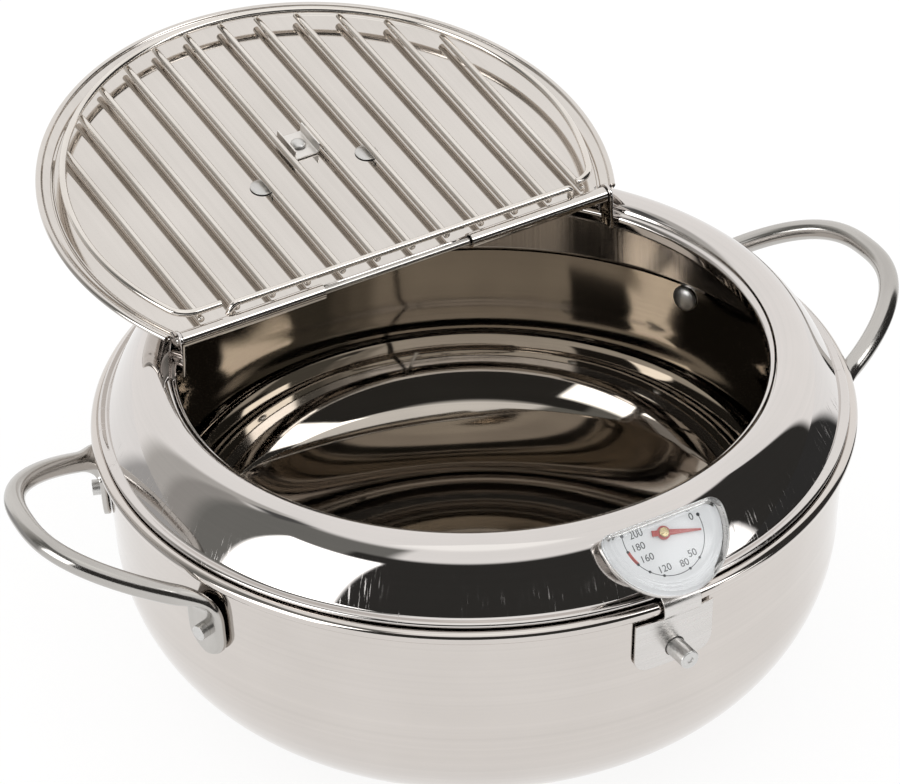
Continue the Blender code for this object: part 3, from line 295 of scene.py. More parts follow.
buffed_outside = steel("pot_steel_mirror_buffed", "#cdc7c2", "#d4cec9", (0.05, 0.09), (1.0, 500.0), 0.015,
                       round_lines=True, waves=SHEET_WAVE)
wheel_lines = steel("pot_steel_wheel_polished_inside", "#b0a9a0", "#beb7ad", (0.03, 0.06), (1.2, 1400.0),
                    0.05, round_lines=True, waves=SHEET_WAVE)
tree = wheel_lines.node_tree
part = add(tree, "SeparateXYZ", {0: add(tree, "TexCoord").outputs["Object"]}).outputs
spun_floor = add(tree, "MapRange", {"Value": from_axis(tree, part), "From Min": 40 * MM, "From Max": 92 * MM,
                                    "To Min": 0.12, "To Max": 0.035})
round_it = add(tree, "Tangent", direction_type="RADIAL", axis="Z")
feed(tree, tree.nodes["Principled BSDF"], {"Roughness": spun_floor, "Anisotropic": 0.6, "Tangent": round_it})
pot = make("pot_shell", turned(pot_section(), once_round(POT_COLUMNS) + math.pi / 2), "pot", buffed_outside,
           "polished_steel", "pot_body")
middles, facing = face_values(pot, "center"), face_values(pot, "normal")
inward = (middles[:, :2] * facing[:, :2]).sum(1) < 0
on_floor = (middles[:, 2] > POT_SHEET / 2) & (facing[:, 2] > 0.5)
finish_part(pot, wheel_lines, (middles[:, 2] < WALL_TOP) & (inward | on_floor))

# Guard ring. One pressed sheet ring keeps the oil from splashing. Its plug drops into the pot, its folded
# flange sits on the rim, its dome rises and dives to a rolled edge round the opening, and two ears bent
# up from that edge hold the hinge rod. A slot under the dial lets the thermometer's stem through.
FLANGE_RADIUS = 121.8 * MM
FLANGE_BOTTOM = POT_HEIGHT + BEAD_RADIUS + GAP
FLANGE_TOP = FLANGE_BOTTOM + 2 * MM
PLUG_RADIUS = WALL_RADIUS - POT_SHEET - 1.2 * MM
PLUG_BOTTOM = POT_HEIGHT - 15.5 * MM
RING_SHEET = 0.8 * MM
HEEL_RADIUS = 0.6 * MM
FOLD_RADIUS = 1 * MM
DOME_FOOT = np.array([119.2 * MM, FLANGE_TOP])
DOME_PULL = np.array([107 * MM, POT_HEIGHT + 33.5 * MM])
ROLL_RADIUS = 1.5 * MM
ROLL_CENTRE = np.array([95.4 * MM + ROLL_RADIUS, POT_HEIGHT + 20.5 * MM - ROLL_RADIUS])
ROLL_START = 140
LIP_LENGTH = 3.2 * MM
GROOVE = 0.4 * MM
GROOVE_FROM, GROOVE_SHARE = 0.9, 0.09
THERMOMETER_X = -0.8 * MM
SLOT_HALF = 2.1 * MM
SLOT_INNER = 111 * MM
SLOT_OUTER = 119.6 * MM
SLOT_RADIUS = 115 * MM
HINGE_Y = 48 * MM
HINGE_Z = POT_HEIGHT + 29 * MM
EAR_NEAR = 81 * MM
EAR_FAR = 82.2 * MM
EAR_RADIUS = 3.4 * MM
EAR_ROOT = 12 * MM
STROKE_LOW = FLANGE_TOP + 5 * MM
STROKE_HIGH = FLANGE_TOP + 13 * MM
STROKE_DULLING = 0.45


def ring_section():
    """Ring sheet, outer side: up the plug, round the fold, a quadratic dome from three points, the roll.

    A shallow groove, a sine squared of the dome's length, sets the roll off from the dome.
    """
    heel_z = FLANGE_BOTTOM - HEEL_RADIUS
    plug = straight((PLUG_RADIUS, PLUG_BOTTOM), (PLUG_RADIUS, heel_z), 10)
    heel = arc((PLUG_RADIUS + HEEL_RADIUS, heel_z), HEEL_RADIUS, 180, 90, 6)
    fold = arc((FLANGE_RADIUS - FOLD_RADIUS, FLANGE_BOTTOM + FOLD_RADIUS), FOLD_RADIUS, -90, 90, 14)
    root = straight(fold[-1], DOME_FOOT, 3)[1:]
    t = np.concatenate([straight(0, 0.88, 60), np.linspace(0.88, 1, 30)])[:, None]
    roll = arc(ROLL_CENTRE, ROLL_RADIUS, ROLL_START, 180, 6)
    slope = unit(DOME_PULL - roll[0])
    sunk = GROOVE * np.sin(np.clip((t - GROOVE_FROM) / GROOVE_SHARE, 0, 1) * math.pi) ** 2
    dome = drawn(DOME_FOOT, DOME_PULL, roll[0], t) + sunk * np.array([slope[1], -slope[0]])
    lip = np.linspace(roll[-1], roll[-1] - [0, LIP_LENGTH], 6)[1:]
    return np.concatenate([plug, heel, fold, root, dome, roll[1:], lip])


def slab(outline, low, high, edge, lift):
    """Grid of a flat plate: its outline, closed to its middle on both faces, with a rounded edge.

    lift(points, height) places a flat outline at a height. The edge is a quarter round of that size.
    """
    middle = outline.mean(0)
    away = unit(outline - middle)
    inner = [(outline * 0 + middle, high), (middle + (outline - middle) * 0.5, high)]
    top = [(outline - away * inset, high - fall) for inset, fall in edge - arc((0, 0), edge, 90, 0, 4)]
    bottom = [(flat, low + high - height) for flat, height in (inner + top)[::-1]]
    return np.stack([lift(flat, height) for flat, height in inner + top + bottom])


def rub(material):
    """Dulls the ring's finish where rubbed strokes, loose patches and its lower part meet.

    The strokes lie across the ring's round, about 9 mm long and under 1 mm wide.
    """
    tree = material.node_tree
    place = add(tree, "TexCoord").outputs
    spot = add(tree, "Mapping", {0: place["UV"], "Scale": (1300.0, 110.0, 1.0)})
    strokes = add(tree, "TexNoise", {"Vector": spot, "Scale": 1.0, "Detail": 3.0})
    patches = add(tree, "TexNoise", {"Vector": place["Object"], "Scale": 60.0, "Detail": 2.0})
    height = add(tree, "SeparateXYZ", {0: place["Object"]}).outputs[2]
    rubbed = 1.0
    for value, low, high in (strokes, 0.56, 0.7), (patches, 0.4, 0.6), (height, STROKE_HIGH, STROKE_LOW):
        part = add(tree, "MapRange", {"Value": value, "From Min": low, "From Max": high})
        rubbed = add(tree, "Math", {0: rubbed, 1: part}, operation="MULTIPLY")
    shader = tree.nodes["Principled BSDF"]
    polish = shader.inputs["Roughness"].links[0].from_socket
    dulled = add(tree, "Math", {0: rubbed, 1: STROKE_DULLING, 2: polish}, operation="MULTIPLY_ADD")
    feed(tree, shader, {"Roughness": dulled})


slot_turn = math.radians(270) + THERMOMETER_X / SLOT_RADIUS
half_turn = SLOT_HALF / SLOT_RADIUS
ring_turns = (once_round(POT_COLUMNS) + math.pi / 2) % FULL_TURN
ring_turns[np.argsort(np.abs(ring_turns - slot_turn))[:2]] = slot_turn - half_turn, slot_turn + half_turn
ring_turns = np.sort(ring_turns)
section = ring_section()
centres = (section[1:] + section[:-1]) / 2
on_dome = (centres[:, 0] > SLOT_INNER) & (centres[:, 0] < SLOT_OUTER) & (centres[:, 1] > FLANGE_TOP - GAP)
cell_turns = (ring_turns + np.append(ring_turns[1:], ring_turns[0] + FULL_TURN)) / 2
in_slot = np.abs(cell_turns - slot_turn) < half_turn
ring_mirror = steel("ring_steel_mirror_buffed", "#cfcbc8", "#d6d1ce", (0.02, 0.05), (0.8, 700.0), 0.03,
                    round_lines=True, waves=SHEET_WAVE)
rub(ring_mirror)
ring_brushed = steel("ring_steel_brushed_plug", "#bcb6b0", "#d3ceca", (0.06, 0.16), (1100.0, 14.0), 0.25)
ring = make("ring_pressing", turned(section, ring_turns), "pot", ring_mirror, "polished_steel", "guard_ring",
            keep=~(on_dome[:, None] & in_slot[None, :]), thickness=-RING_SHEET)
finish_part(ring, ring_brushed, face_values(ring, "center")[:, 2] < FLANGE_BOTTOM)

ear_foot = HINGE_Z - EAR_ROOT
ear_outline = np.concatenate([arc((HINGE_Y, HINGE_Z), EAR_RADIUS, 0, 180, 17),
                              [(HINGE_Y - EAR_RADIUS, ear_foot), (HINGE_Y + 2 * EAR_RADIUS, ear_foot)]])
for side, sign in (("left", -1), ("right", 1)):
    grid = slab(ear_outline, EAR_NEAR, EAR_FAR, 0.3 * MM,
                lambda flat, x: np.stack([0 * flat[:, 0] + sign * x, flat[:, 0], flat[:, 1]], -1))
    make(f"ring_ear_{side}", grid, "pot", ring_mirror, "polished_steel", "guard_ring", sharp=40)

# Loop handles. Each is a bent steel tube whose two ends are pressed flat into leaf-shaped tabs. A rivet
# through each tab has its domed head inside the pot and a plain upset tail outside.
HANDLE_ANGLES = {"left": math.radians(174.5), "right": math.radians(1)}
HANDLE_TUBE = 3.4 * MM
HANDLE_REACH = 41.8 * MM
HANDLE_HALF = 41.2 * MM
HANDLE_DROP = 9 * MM
HANDLE_RISE = math.radians(21.2)
TAB_HALF_WIDTH = 8 * MM
TAB_HALF_THICKNESS = 1.3 * MM
TAB_BELOW = 9.5 * MM
TAB_ABOVE = 5 * MM
TAB_SQUARENESS, TUBE_SQUARENESS = 5, 2
LOOP_START = 0.36
REACH_POWER, SPREAD_POWER = 1.56, 0.79
RIVET_ANGLE = math.radians(20.5)
RIVET_Z = POT_HEIGHT - 21 * MM
RIVET_RADIUS = 2.6 * MM
RIVET_HEAD_RADIUS = 4.6 * MM
RIVET_HEAD_HEIGHT = 2 * MM
RIVET_TAIL = 2.4 * MM
RIVET_SEAT = 0.5 * MM


def wall_outer(z):
    """Outer radius of the tapered wall at a height."""
    return WALL_RADIUS - (WALL_TOP - z) * math.tan(WALL_TAPER)


def handle_half():
    """Half a handle from the tab's tip to the loop's middle: spots and sections.

    A section is half a width, half a thickness and a squareness. The tab widens like a circle and stays
    flat, a cubic bend leads off the wall, and the loop follows powers of a sine for its reach and of a
    cosine for its spread.
    """
    out = np.array([math.sin(RIVET_ANGLE), math.cos(RIVET_ANGLE), 0])
    up = out * math.sin(WALL_TAPER) + np.array([0, 0, math.cos(WALL_TAPER)])
    seat = out * (wall_outer(RIVET_Z) + GAP + TAB_HALF_THICKNESS) + np.array([0, 0, RIVET_Z])
    along = (TAB_BELOW + TAB_ABOVE) * np.linspace(0, 1, 26) ** 1.6
    tab = seat + up * (along - TAB_BELOW)[:, None]
    root = math.sqrt((WALL_RADIUS + GAP + HANDLE_TUBE) ** 2 - HANDLE_HALF ** 2)

    def loop(turn):
        reach = HANDLE_REACH * np.sin(turn) ** REACH_POWER
        spread = HANDLE_HALF * np.maximum(np.cos(turn), 0) ** SPREAD_POWER
        return np.stack([spread, root + reach * math.cos(HANDLE_RISE),
                         POT_HEIGHT - HANDLE_DROP + reach * math.sin(HANDLE_RISE)], -1)

    before, join, after = loop(LOOP_START + np.array([-0.02, 0, 0.02]))
    pull = np.linalg.norm(join - tab[-1]) / 2
    first, second = tab[-1] + up * pull, join - unit(after - before) * pull
    t = np.linspace(0, 1, 26)[1:, None]
    bend = (tab[-1] * (1 - t) ** 3 + first * 3 * t * (1 - t) ** 2 + second * 3 * t ** 2 * (1 - t)
            + join * t ** 3)
    turns = np.linspace(LOOP_START, math.pi / 2, 50)[1:]
    on_tab = np.array([TAB_HALF_WIDTH, TAB_HALF_THICKNESS, TAB_SQUARENESS])
    on_loop = np.array([HANDLE_TUBE, HANDLE_TUBE, TUBE_SQUARENESS])
    grow = np.clip(t * 1.1, 0, 1)
    grow = grow * grow * (3 - 2 * grow)
    tab_sizes = np.tile(on_tab, (len(tab), 1))
    tab_sizes[:, 0] *= np.maximum(np.sqrt(1 - (1 - np.minimum(along / TAB_HALF_WIDTH, 1)) ** 2), 0.03)
    sizes = [tab_sizes, on_tab + (on_loop - on_tab) * grow, np.tile(on_loop, (len(turns), 1))]
    return np.concatenate([tab, bend, loop(turns)]), np.concatenate(sizes)


def carried(run, side):
    """Directions across a path, and square to it and them: the frame turns as little as it can."""
    run, sides = unit(run), []
    for heading in run:
        side = unit(side - heading * (side @ heading))
        sides.append(side)
    return np.array(sides)[:, None], np.cross(run, sides)[:, None]


def capped(grid):
    """A grid whose first and last rows are closed to their middles."""
    first, last = [np.broadcast_to(row.mean(0), row.shape)[None] for row in (grid[0], grid[-1])]
    return np.concatenate([first, grid, last])


def handle_grid(angle):
    """The handle's sections carried along its path: super-ellipses, square on the tabs, round on the loop."""
    spots, sizes = handle_half()
    path = np.concatenate([spots, spots[-2::-1] * [-1, 1, 1]])
    halves, thick, square = np.concatenate([sizes, sizes[-2::-1]]).T[..., None]
    sides, normal = carried(np.gradient(path, axis=0), [math.cos(RIVET_ANGLE), -math.sin(RIVET_ANGLE), 0])
    turn = once_round(40)
    c, s = np.cos(turn), np.sin(turn)
    u = halves * np.sign(c) * np.abs(c) ** (2 / square)
    v = thick * np.sign(s) * np.abs(s) ** (2 / square)
    x, y, z = np.moveaxis(capped(path[:, None] + sides * u[..., None] + normal * v[..., None]), -1, 0)
    c, s = math.cos(angle - math.pi / 2), math.sin(angle - math.pi / 2)
    return np.stack([x * c - y * s, x * s + y * c, z], -1)


def spun(section, centre, axis):
    """Grid of a small turned part: its (radius, height) section carried round any axis from a centre."""
    axis = unit(np.array(axis, float))
    first = np.array(Vector(axis).orthogonal().normalized())
    turns = once_round(48)[:, None]
    ring = first * np.cos(turns) + np.cross(axis, first) * np.sin(turns)
    return np.array(centre) + section[:, 0, None, None] * ring + section[:, 1, None, None] * axis


def rivet_section(head, head_height, shank, length, tail, tail_height):
    """Rivet outline from the middle of its domed head to the middle of its upset tail."""
    dome = arc((0, 0), 1, 90, 0, 14) * np.array([head, head_height])
    foot = -length - tail_height
    soft = min(tail_height, tail) * 0.35
    end = arc((tail - soft, foot + soft), soft, 0, -90, 6)
    return np.concatenate([dome, [(shank, 0), (shank, -length), (tail, -length)], end, [(0, foot)]])


drawn_tube = steel("handle_steel_drawn_tube", "#b0ada9", "#c4c1bd", (0.12, 0.22), (220.0, 18.0), 0.1)
rivet_satin = steel("rivet_steel_satin", "#c6c5c3", "#dad9d7", (0.3, 0.45), (900.0, 900.0), 0.3)
rivet_length = POT_SHEET + RIVET_SEAT + 2 * TAB_HALF_THICKNESS + GAP + RIVET_TAIL
rivet_outline = rivet_section(RIVET_HEAD_RADIUS, RIVET_HEAD_HEIGHT, RIVET_RADIUS, rivet_length,
                              RIVET_RADIUS, GAP)
for side, angle in HANDLE_ANGLES.items():
    make(f"loop_handle_{side}", handle_grid(angle), "pot", drawn_tube, "brushed_steel", f"handle_{side}")
    for end, offset in (("front", -RIVET_ANGLE), ("back", RIVET_ANGLE)):
        spin = angle + (offset if side == "right" else -offset)
        radial = np.array([math.cos(spin), math.sin(spin), 0])
        axis = radial * math.cos(WALL_TAPER) - [0, 0, math.sin(WALL_TAPER)]
        wall = radial * wall_outer(RIVET_Z) + [0, 0, RIVET_Z]
        make(f"rivet_{side}_{end}", spun(rivet_outline, wall - axis * (POT_SHEET + RIVET_SEAT), -axis), "pot",
             rivet_satin, "rivet_steel", f"handle_{side}_rivet_{end}", sharp=40)

# Hinge and lid. The lid is a pressed half-moon tray with a stepped floor, a flat flange and a rolled round
# edge. Its straight edge is curled into two long knuckles round a thin rod, with a turned hem between.
LID_LEAN = math.radians(8.74)
LID_UP = (0, -math.sin(LID_LEAN), math.cos(LID_LEAN))
LID_RADIUS = 97 * MM
LID_CENTRE = 46.5 * MM
LID_SHEET = 0.8 * MM
LID_BEAD = 1.15 * MM
LID_STEP = 0.9 * MM
LID_FLANGE_IN = LID_RADIUS - 4.9 * MM
LID_STEP_IN = LID_FLANGE_IN - 1.2 * MM
LID_COLUMNS = 170
LID_FLOOR_ROWS = 24
CORNER_COLUMNS = 4
CORNER_START = 1.6 * MM
CORNER_SHIFT = 0.02 * MM
ROD_RADIUS = 1.2 * MM
ROD_CHAMFER = 0.3 * MM
KNUCKLE_BORE = 1.4 * MM
KNUCKLE_RADIUS = 2 * MM
KNUCKLE_START = 28 * MM
KNUCKLE_END = 80.6 * MM
EAR_PLAY = 0.4 * MM


def leaning(middle, lean):
    """Gives a function that places points on a leaning plane through middle.

    Its points are given along X, up the plane's slope and square to the plane.
    """
    def place(points):
        x, d, h = np.moveaxis(np.asarray(points, float), -1, 0)
        return np.stack([middle[0] + x, middle[1] + d * math.cos(lean) - h * math.sin(lean),
                         middle[2] + d * math.sin(lean) + h * math.cos(lean)], -1)

    return place


on_lid = leaning((0, HINGE_Y, HINGE_Z), LID_LEAN)


def lid_grid():
    """Lid tray from its straight edge to its round one, then the step, the flange and the rolled bead.

    The floor is ruled between the two edges. Beyond it each row has its own radius, and the last
    columns before a corner go by their distance from the rod, so that one of them is the notch's end.
    """
    notch_end = EAR_RADIUS + EAR_PLAY
    low = np.linspace(CORNER_START, notch_end, CORNER_COLUMNS + 1)
    bead = arc((LID_RADIUS - LID_BEAD, LID_STEP), LID_BEAD, 165, -150, 22)
    sides = [math.hypot(x, LID_CENTRE - notch_end) for x in (KNUCKLE_END, EAR_FAR + EAR_PLAY)]
    rise = np.array([
        (LID_STEP_IN - 0.3 * MM, 0), (LID_STEP_IN, 0.05 * MM), (sides[0], LID_STEP * 0.3),
        (LID_FLANGE_IN - 0.2 * MM, LID_STEP - 0.1 * MM), (LID_FLANGE_IN + 0.1 * MM, LID_STEP),
        (sides[1], LID_STEP)])
    section = np.concatenate([rise, straight((sides[1] + 0.5 * MM, LID_STEP), bead[0], 3), bead])
    radius = section[:, :1]
    start = np.arcsin((notch_end - LID_CENTRE) / radius)
    even = np.linspace(0, 1, LID_COLUMNS)
    turn = start + (math.pi - 2 * start) * (0.4 * (1 - np.cos(even * math.pi)) / 2 + 0.6 * even)
    x, d = radius * np.cos(turn), LID_CENTRE + radius * np.sin(turn)
    follow = np.clip((radius - sides[1]) / (1.5 * MM), 0, 1)
    fall = np.sqrt(radius ** 2 - (low[:-1] - LID_CENTRE) ** 2) - x[:, :1]
    corner_x = x[:, :1] + follow * fall
    x = np.concatenate([corner_x, x, -corner_x[:, ::-1]], 1)
    d = np.concatenate([low[:-1] + 0 * corner_x, d, low[-2::-1] + 0 * corner_x], 1)
    edge = np.stack([x, d, section[:, 1:] + 0 * x], -1)
    along = x[0].copy()
    shift = CORNER_SHIFT * np.arange(CORNER_COLUMNS + 1)
    along[:CORNER_COLUMNS + 1] -= shift
    along[-CORNER_COLUMNS - 1:] += shift[::-1]
    along[CORNER_COLUMNS:-CORNER_COLUMNS] = np.linspace(along[CORNER_COLUMNS], along[-CORNER_COLUMNS - 1],
                                                        LID_COLUMNS)
    chord = np.stack([along, 0 * along + KNUCKLE_BORE + 0.15 * MM, 0 * along], -1)
    share = straight(0, 1, LID_FLOOR_ROWS)[:, None, None]
    grid = np.concatenate([chord * (1 - share) + edge[0] * share, edge])
    keep = np.ones((len(grid) - 1, grid.shape[1] - 1), bool)
    inner, outer = [LID_FLOOR_ROWS + int(np.argmin(np.abs(rise[:, 0] - side))) for side in sides]
    keep[inner:outer, :CORNER_COLUMNS] = keep[inner:outer, -CORNER_COLUMNS:] = False
    return on_lid(grid), keep


def ruled(outline, start, end, count):
    """A flat (away from the rod, up) outline carried straight along the lid's edge."""
    x = np.linspace(start, end, count)[:, None] + 0 * outline[:, 0]
    return on_lid(np.stack([x, 0 * x + outline[:, 0], 0 * x + outline[:, 1]], -1))


lid_sheet = steel("lid_steel_bright_rolled", "#d0cbc6", "#d7d2cd", (0.05, 0.1), (420.0, 7.0, 7.0), 0.03,
                  waves=SHEET_WAVE)
tray_points, tray_cells = lid_grid()
make("lid_pressing", tray_points, "lid", lid_sheet, "polished_steel", "lid_tray", sharp=60, across=False,
     keep=tray_cells, thickness=LID_SHEET)
curl = np.concatenate([[(KNUCKLE_RADIUS + 1 * MM, 0)], arc((0, 0), KNUCKLE_RADIUS, 0, 325, 40)])
for side, start, end in (("left", -KNUCKLE_END, -KNUCKLE_START), ("right", KNUCKLE_START, KNUCKLE_END)):
    make(f"lid_knuckle_{side}", ruled(curl, start, end, 12), "lid", lid_sheet, "polished_steel", "lid_tray",
         sharp=60, across=False, thickness=0.6 * MM)
hem = np.array([(2.3, 0.0), (1.95, -0.08), (1.72, -0.35), (1.7, -1.2), (1.7, -2.3)]) * MM
make("lid_hem", ruled(hem, -KNUCKLE_START + GAP, KNUCKLE_START - GAP, 9), "lid", lid_sheet, "polished_steel",
     "lid_tray", across=False, thickness=0.7 * MM)

rod_end = EAR_FAR + GAP
rod_tip = [(ROD_RADIUS, rod_end - ROD_CHAMFER), (ROD_RADIUS - ROD_CHAMFER, rod_end), (0, rod_end)]
rod_section = np.array([(radius, -height) for radius, height in rod_tip[::-1]] + rod_tip)
make("hinge_pin", spun(rod_section, (0, HINGE_Y, HINGE_Z), (1, 0, 0)), "pot", drawn_tube, "brushed_steel",
     "hinge_rod", sharp=40)

# Lid handle. A low strap of bent sheet on the outside of the lid, with a rivet through each pad. The
# flat rivet heads show on the lid's floor, and the open lid leans on the strap.
STRAP_ALONG = 54.6 * MM
STRAP_RIVETS = 20.2 * MM
STRAP_WIDTH = 12 * MM
STRAP_SHEET = 1.2 * MM
STRAP_HEIGHT = 10.9 * MM
STRAP_PAD = 6 * MM
STRAP_SLOPE = 2 * MM
STRAP_BEND = 2.2 * MM
STRAP_ROUNDING = 4 * MM
LID_RIVET_RADIUS = 2 * MM
LID_HEAD_RADIUS = 4 * MM
LID_HEAD_HEIGHT = 0.6 * MM
LID_TAIL_RADIUS = 3.2 * MM
LID_TAIL_HEIGHT = 1.1 * MM


def softened(points, radius, count=8):
    """A line through points whose corners are rounded by quadratic curves of about that radius."""
    points = np.asarray(points, float)
    pieces = [points[:1]]
    for before, corner, after in zip(points, points[1:], points[2:]):
        back, on = before - corner, after - corner
        reach = min(radius, np.linalg.norm(back) / 2, np.linalg.norm(on) / 2)
        t = np.linspace(0, 1, count)[:, None]
        pieces.append(drawn(corner + unit(back) * reach, corner, corner + unit(on) * reach, t))
    return np.concatenate(pieces + [points[-1:]])


def band(path, halves, thickness, edge):
    """Grid of a bent strip: a rounded rectangular section carried along a path in a plane.

    Columns run round the section. halves is the half width, at each spot or all along, and the result
    is in (width, first, second) order.
    """
    run = unit(np.gradient(path, axis=0))
    normal = np.stack([-run[:, 1], run[:, 0]], -1)
    corners = np.concatenate([arc((0, 0), edge, start, start + 90, 4) for start in (0, 90, 180, 270)])
    out, up = np.repeat([(1, -1, -1, 1), (1, 1, -1, -1)], 4, 1)
    width = corners[:, 0] + out * (np.broadcast_to(halves, len(path))[:, None] - edge)
    rise = corners[:, 1] + up * (thickness / 2 - edge)
    flat = path[:, None] + normal[:, None] * rise[:, None]
    return capped(np.concatenate([width[..., None], flat], -1))


pad_h = -LID_SHEET - GAP - STRAP_SHEET / 2
crown_h = -LID_SHEET - STRAP_HEIGHT + STRAP_SHEET / 2
pad_end, pad_start = STRAP_RIVETS + STRAP_PAD, STRAP_RIVETS - STRAP_PAD
half_strap = [(pad_start - STRAP_SLOPE, crown_h), (pad_start, pad_h), (pad_end, pad_h)]
strap_path = softened([(-d, h) for d, h in half_strap[::-1]] + half_strap, STRAP_BEND, 10)
ease = np.clip((pad_end - np.abs(strap_path[:, 0])) / STRAP_ROUNDING, 0, 1)
strap = band(strap_path, STRAP_WIDTH / 2 * np.sqrt(1 - (1 - ease) ** 2 * 0.6), STRAP_SHEET, 0.35 * MM)
make("lid_strap", on_lid(strap[..., [1, 0, 2]] + [0, STRAP_ALONG, 0]), "lid", buffed_outside,
     "polished_steel", "lid_handle", sharp=55)
rivet_outline = rivet_section(LID_HEAD_RADIUS, LID_HEAD_HEIGHT, LID_RIVET_RADIUS,
                              GAP - pad_h + STRAP_SHEET / 2 + GAP, LID_TAIL_RADIUS, LID_TAIL_HEIGHT)
for side, sign in (("left", -1), ("right", 1)):
    head = on_lid((sign * STRAP_RIVETS, STRAP_ALONG, GAP))
    make(f"strap_rivet_{side}", spun(rivet_outline, head, LID_UP), "lid", rivet_satin, "rivet_steel",
         f"lid_handle_rivet_{side}", sharp=40)

# Draining rack. Twelve straight wires lie over the lid's floor. A round frame wire is spot welded on top of
# them, and a front rail with both ends bent down as legs. It is drawn wire, polished bright after welding.
WIRE = 1.2 * MM
WIRE_TIP = 0.45
RACK_RADIUS = 88 * MM
RACK_END = 4.7 * MM
RACK_CORNER = 9 * MM
RACK_SIDE = 1.3 * MM
BAR_COUNT = 12
BAR_PITCH = 13.2 * MM
BAR_END_RADIUS = 88.8 * MM
BAR_TIP = 3 * MM
BAR_H = GAP + 0.9 * MM + WIRE
FRAME_H = BAR_H + 2 * WIRE + GAP
RAIL_ALONG = 2.9 * MM
RAIL_LEFT = 59.9 * MM
RAIL_RIGHT = 68.9 * MM
RAIL_SPREAD = 1.8 * MM
RAIL_FOOT = 0.9 * MM
RAIL_BEND = 2 * MM


def raised(flat, height):
    """Flat points given a height as their third place."""
    return np.concatenate([flat, 0 * flat[..., :1] + height], -1)


def wire_grid(path):
    """A round wire carried along a path, with rounded tips. Each section is a circle square to the path."""
    start, end = unit(path[0] - path[1]), unit(path[-1] - path[-2])
    tip = np.radians(np.linspace(90, 0, 6))[:, None]
    inset = WIRE * WIRE_TIP
    head = path[0] - start * inset + start * inset * np.sin(tip)
    tail = (path[-1] - end * inset + end * inset * np.sin(tip))[::-1]
    round_off = WIRE - inset + inset * np.cos(tip[:, 0])
    round_off[0] = 0
    sizes = np.concatenate([round_off, np.full(len(path) - 2, WIRE), round_off[::-1]])
    path = np.concatenate([head, path[1:-1], tail])
    run = np.gradient(path, axis=0)
    sides, normal = carried(run, np.cross(run[0], [0.3, 0.2, 1.0]))
    turns = once_round(20)[:, None]
    return path[:, None] + (sides * np.cos(turns) + normal * np.sin(turns)) * sizes[:, None, None]


corner_d = RACK_END + RACK_CORNER
corner_x = math.sqrt((RACK_RADIUS - RACK_CORNER) ** 2 - (corner_d - LID_CENTRE) ** 2)
corner_turn = math.degrees(math.atan2(corner_d - LID_CENTRE, corner_x))
frame_end = -(RAIL_LEFT + RAIL_SPREAD + WIRE + GAP)
rack_path = raised(np.concatenate([
    arc((corner_x, corner_d), RACK_CORNER, -90, corner_turn, 20),
    arc((0, LID_CENTRE), RACK_RADIUS, corner_turn, 180 - corner_turn, 150)[1:-1],
    arc((-corner_x, corner_d), RACK_CORNER, 180 - corner_turn, 270, 20),
    np.linspace((-corner_x, RACK_END), (frame_end, RACK_END), 5)[1:]]), FRAME_H)
rail_corners = [(-RAIL_LEFT - RAIL_SPREAD, RAIL_ALONG, RAIL_FOOT), (-RAIL_LEFT, RAIL_ALONG, FRAME_H),
                (RAIL_RIGHT, RAIL_ALONG, FRAME_H), (RAIL_RIGHT, RAIL_ALONG, RAIL_FOOT)]
rail_path = softened(rail_corners, RAIL_BEND, 12)
half = len(rail_path) // 2
rail_path = np.insert(rail_path, half, straight(rail_path[half - 1], rail_path[half], 30)[1:], 0)
rack_wire = steel("rack_steel_drawn_wire", "#d6d0c9", "#e6e1db", (0.06, 0.12), (500.0, 40.0), 0.15)
wires = [("rack_frame_wire", rack_path, "rack_frame"), ("rack_rail_wire", rail_path, "rack_front_rail")]
for number in range(BAR_COUNT):
    x = RACK_SIDE + (number - (BAR_COUNT - 1) / 2) * BAR_PITCH
    d = np.linspace(BAR_TIP, LID_CENTRE + math.sqrt(BAR_END_RADIUS ** 2 - x ** 2), 40)
    wires.append((f"rack_wire_{number + 1:02d}", np.stack([0 * d + x, d, 0 * d + BAR_H], -1),
                  f"rack_bar_{number + 1:02d}"))
for name, path, node in wires:
    make(name, wire_grid(on_lid(path)), "rack", rack_wire, "brushed_steel", node)

# Rack clip. A short channel of spring sheet stands between the two middle wires and grips them. One
# rivet with a low head holds it to the lid.
CLIP_ALONG = 68 * MM
CLIP_LENGTH = 12.5 * MM
CLIP_SHEET = 0.5 * MM
CLIP_LEAF = 3.9 * MM
CLIP_BEND = 0.8 * MM
CLIP_RIVET_RADIUS = 1.4 * MM
CLIP_HEAD_RADIUS = 2.7 * MM
CLIP_HEAD_HEIGHT = 1.5 * MM
CLIP_TAIL_RADIUS = 2.6 * MM
clip_half = BAR_PITCH / 2 - WIRE - 2 * GAP - CLIP_SHEET / 2
clip_low = GAP + CLIP_SHEET / 2
clip_path = softened([(-clip_half, GAP + CLIP_LEAF), (-clip_half, clip_low), (clip_half, clip_low),
                      (clip_half, GAP + CLIP_LEAF)], CLIP_BEND)
clip = band(clip_path, CLIP_LENGTH / 2, CLIP_SHEET, 0.12 * MM)
clip_steel = steel("clip_steel_spring_sheet", "#dcd8d4", "#e6e3df", (0.3, 0.4), (400.0, 60.0), 0.1)
make("clip_channel", on_lid(clip[..., [1, 0, 2]] + [RACK_SIDE, CLIP_ALONG, 0]), "lid", clip_steel,
     "brushed_steel", "rack_clip", sharp=55)
clip_base = GAP + CLIP_SHEET + GAP
rivet_outline = rivet_section(CLIP_HEAD_RADIUS, CLIP_HEAD_HEIGHT, CLIP_RIVET_RADIUS,
                              clip_base + LID_SHEET + GAP, CLIP_TAIL_RADIUS, LID_TAIL_HEIGHT)
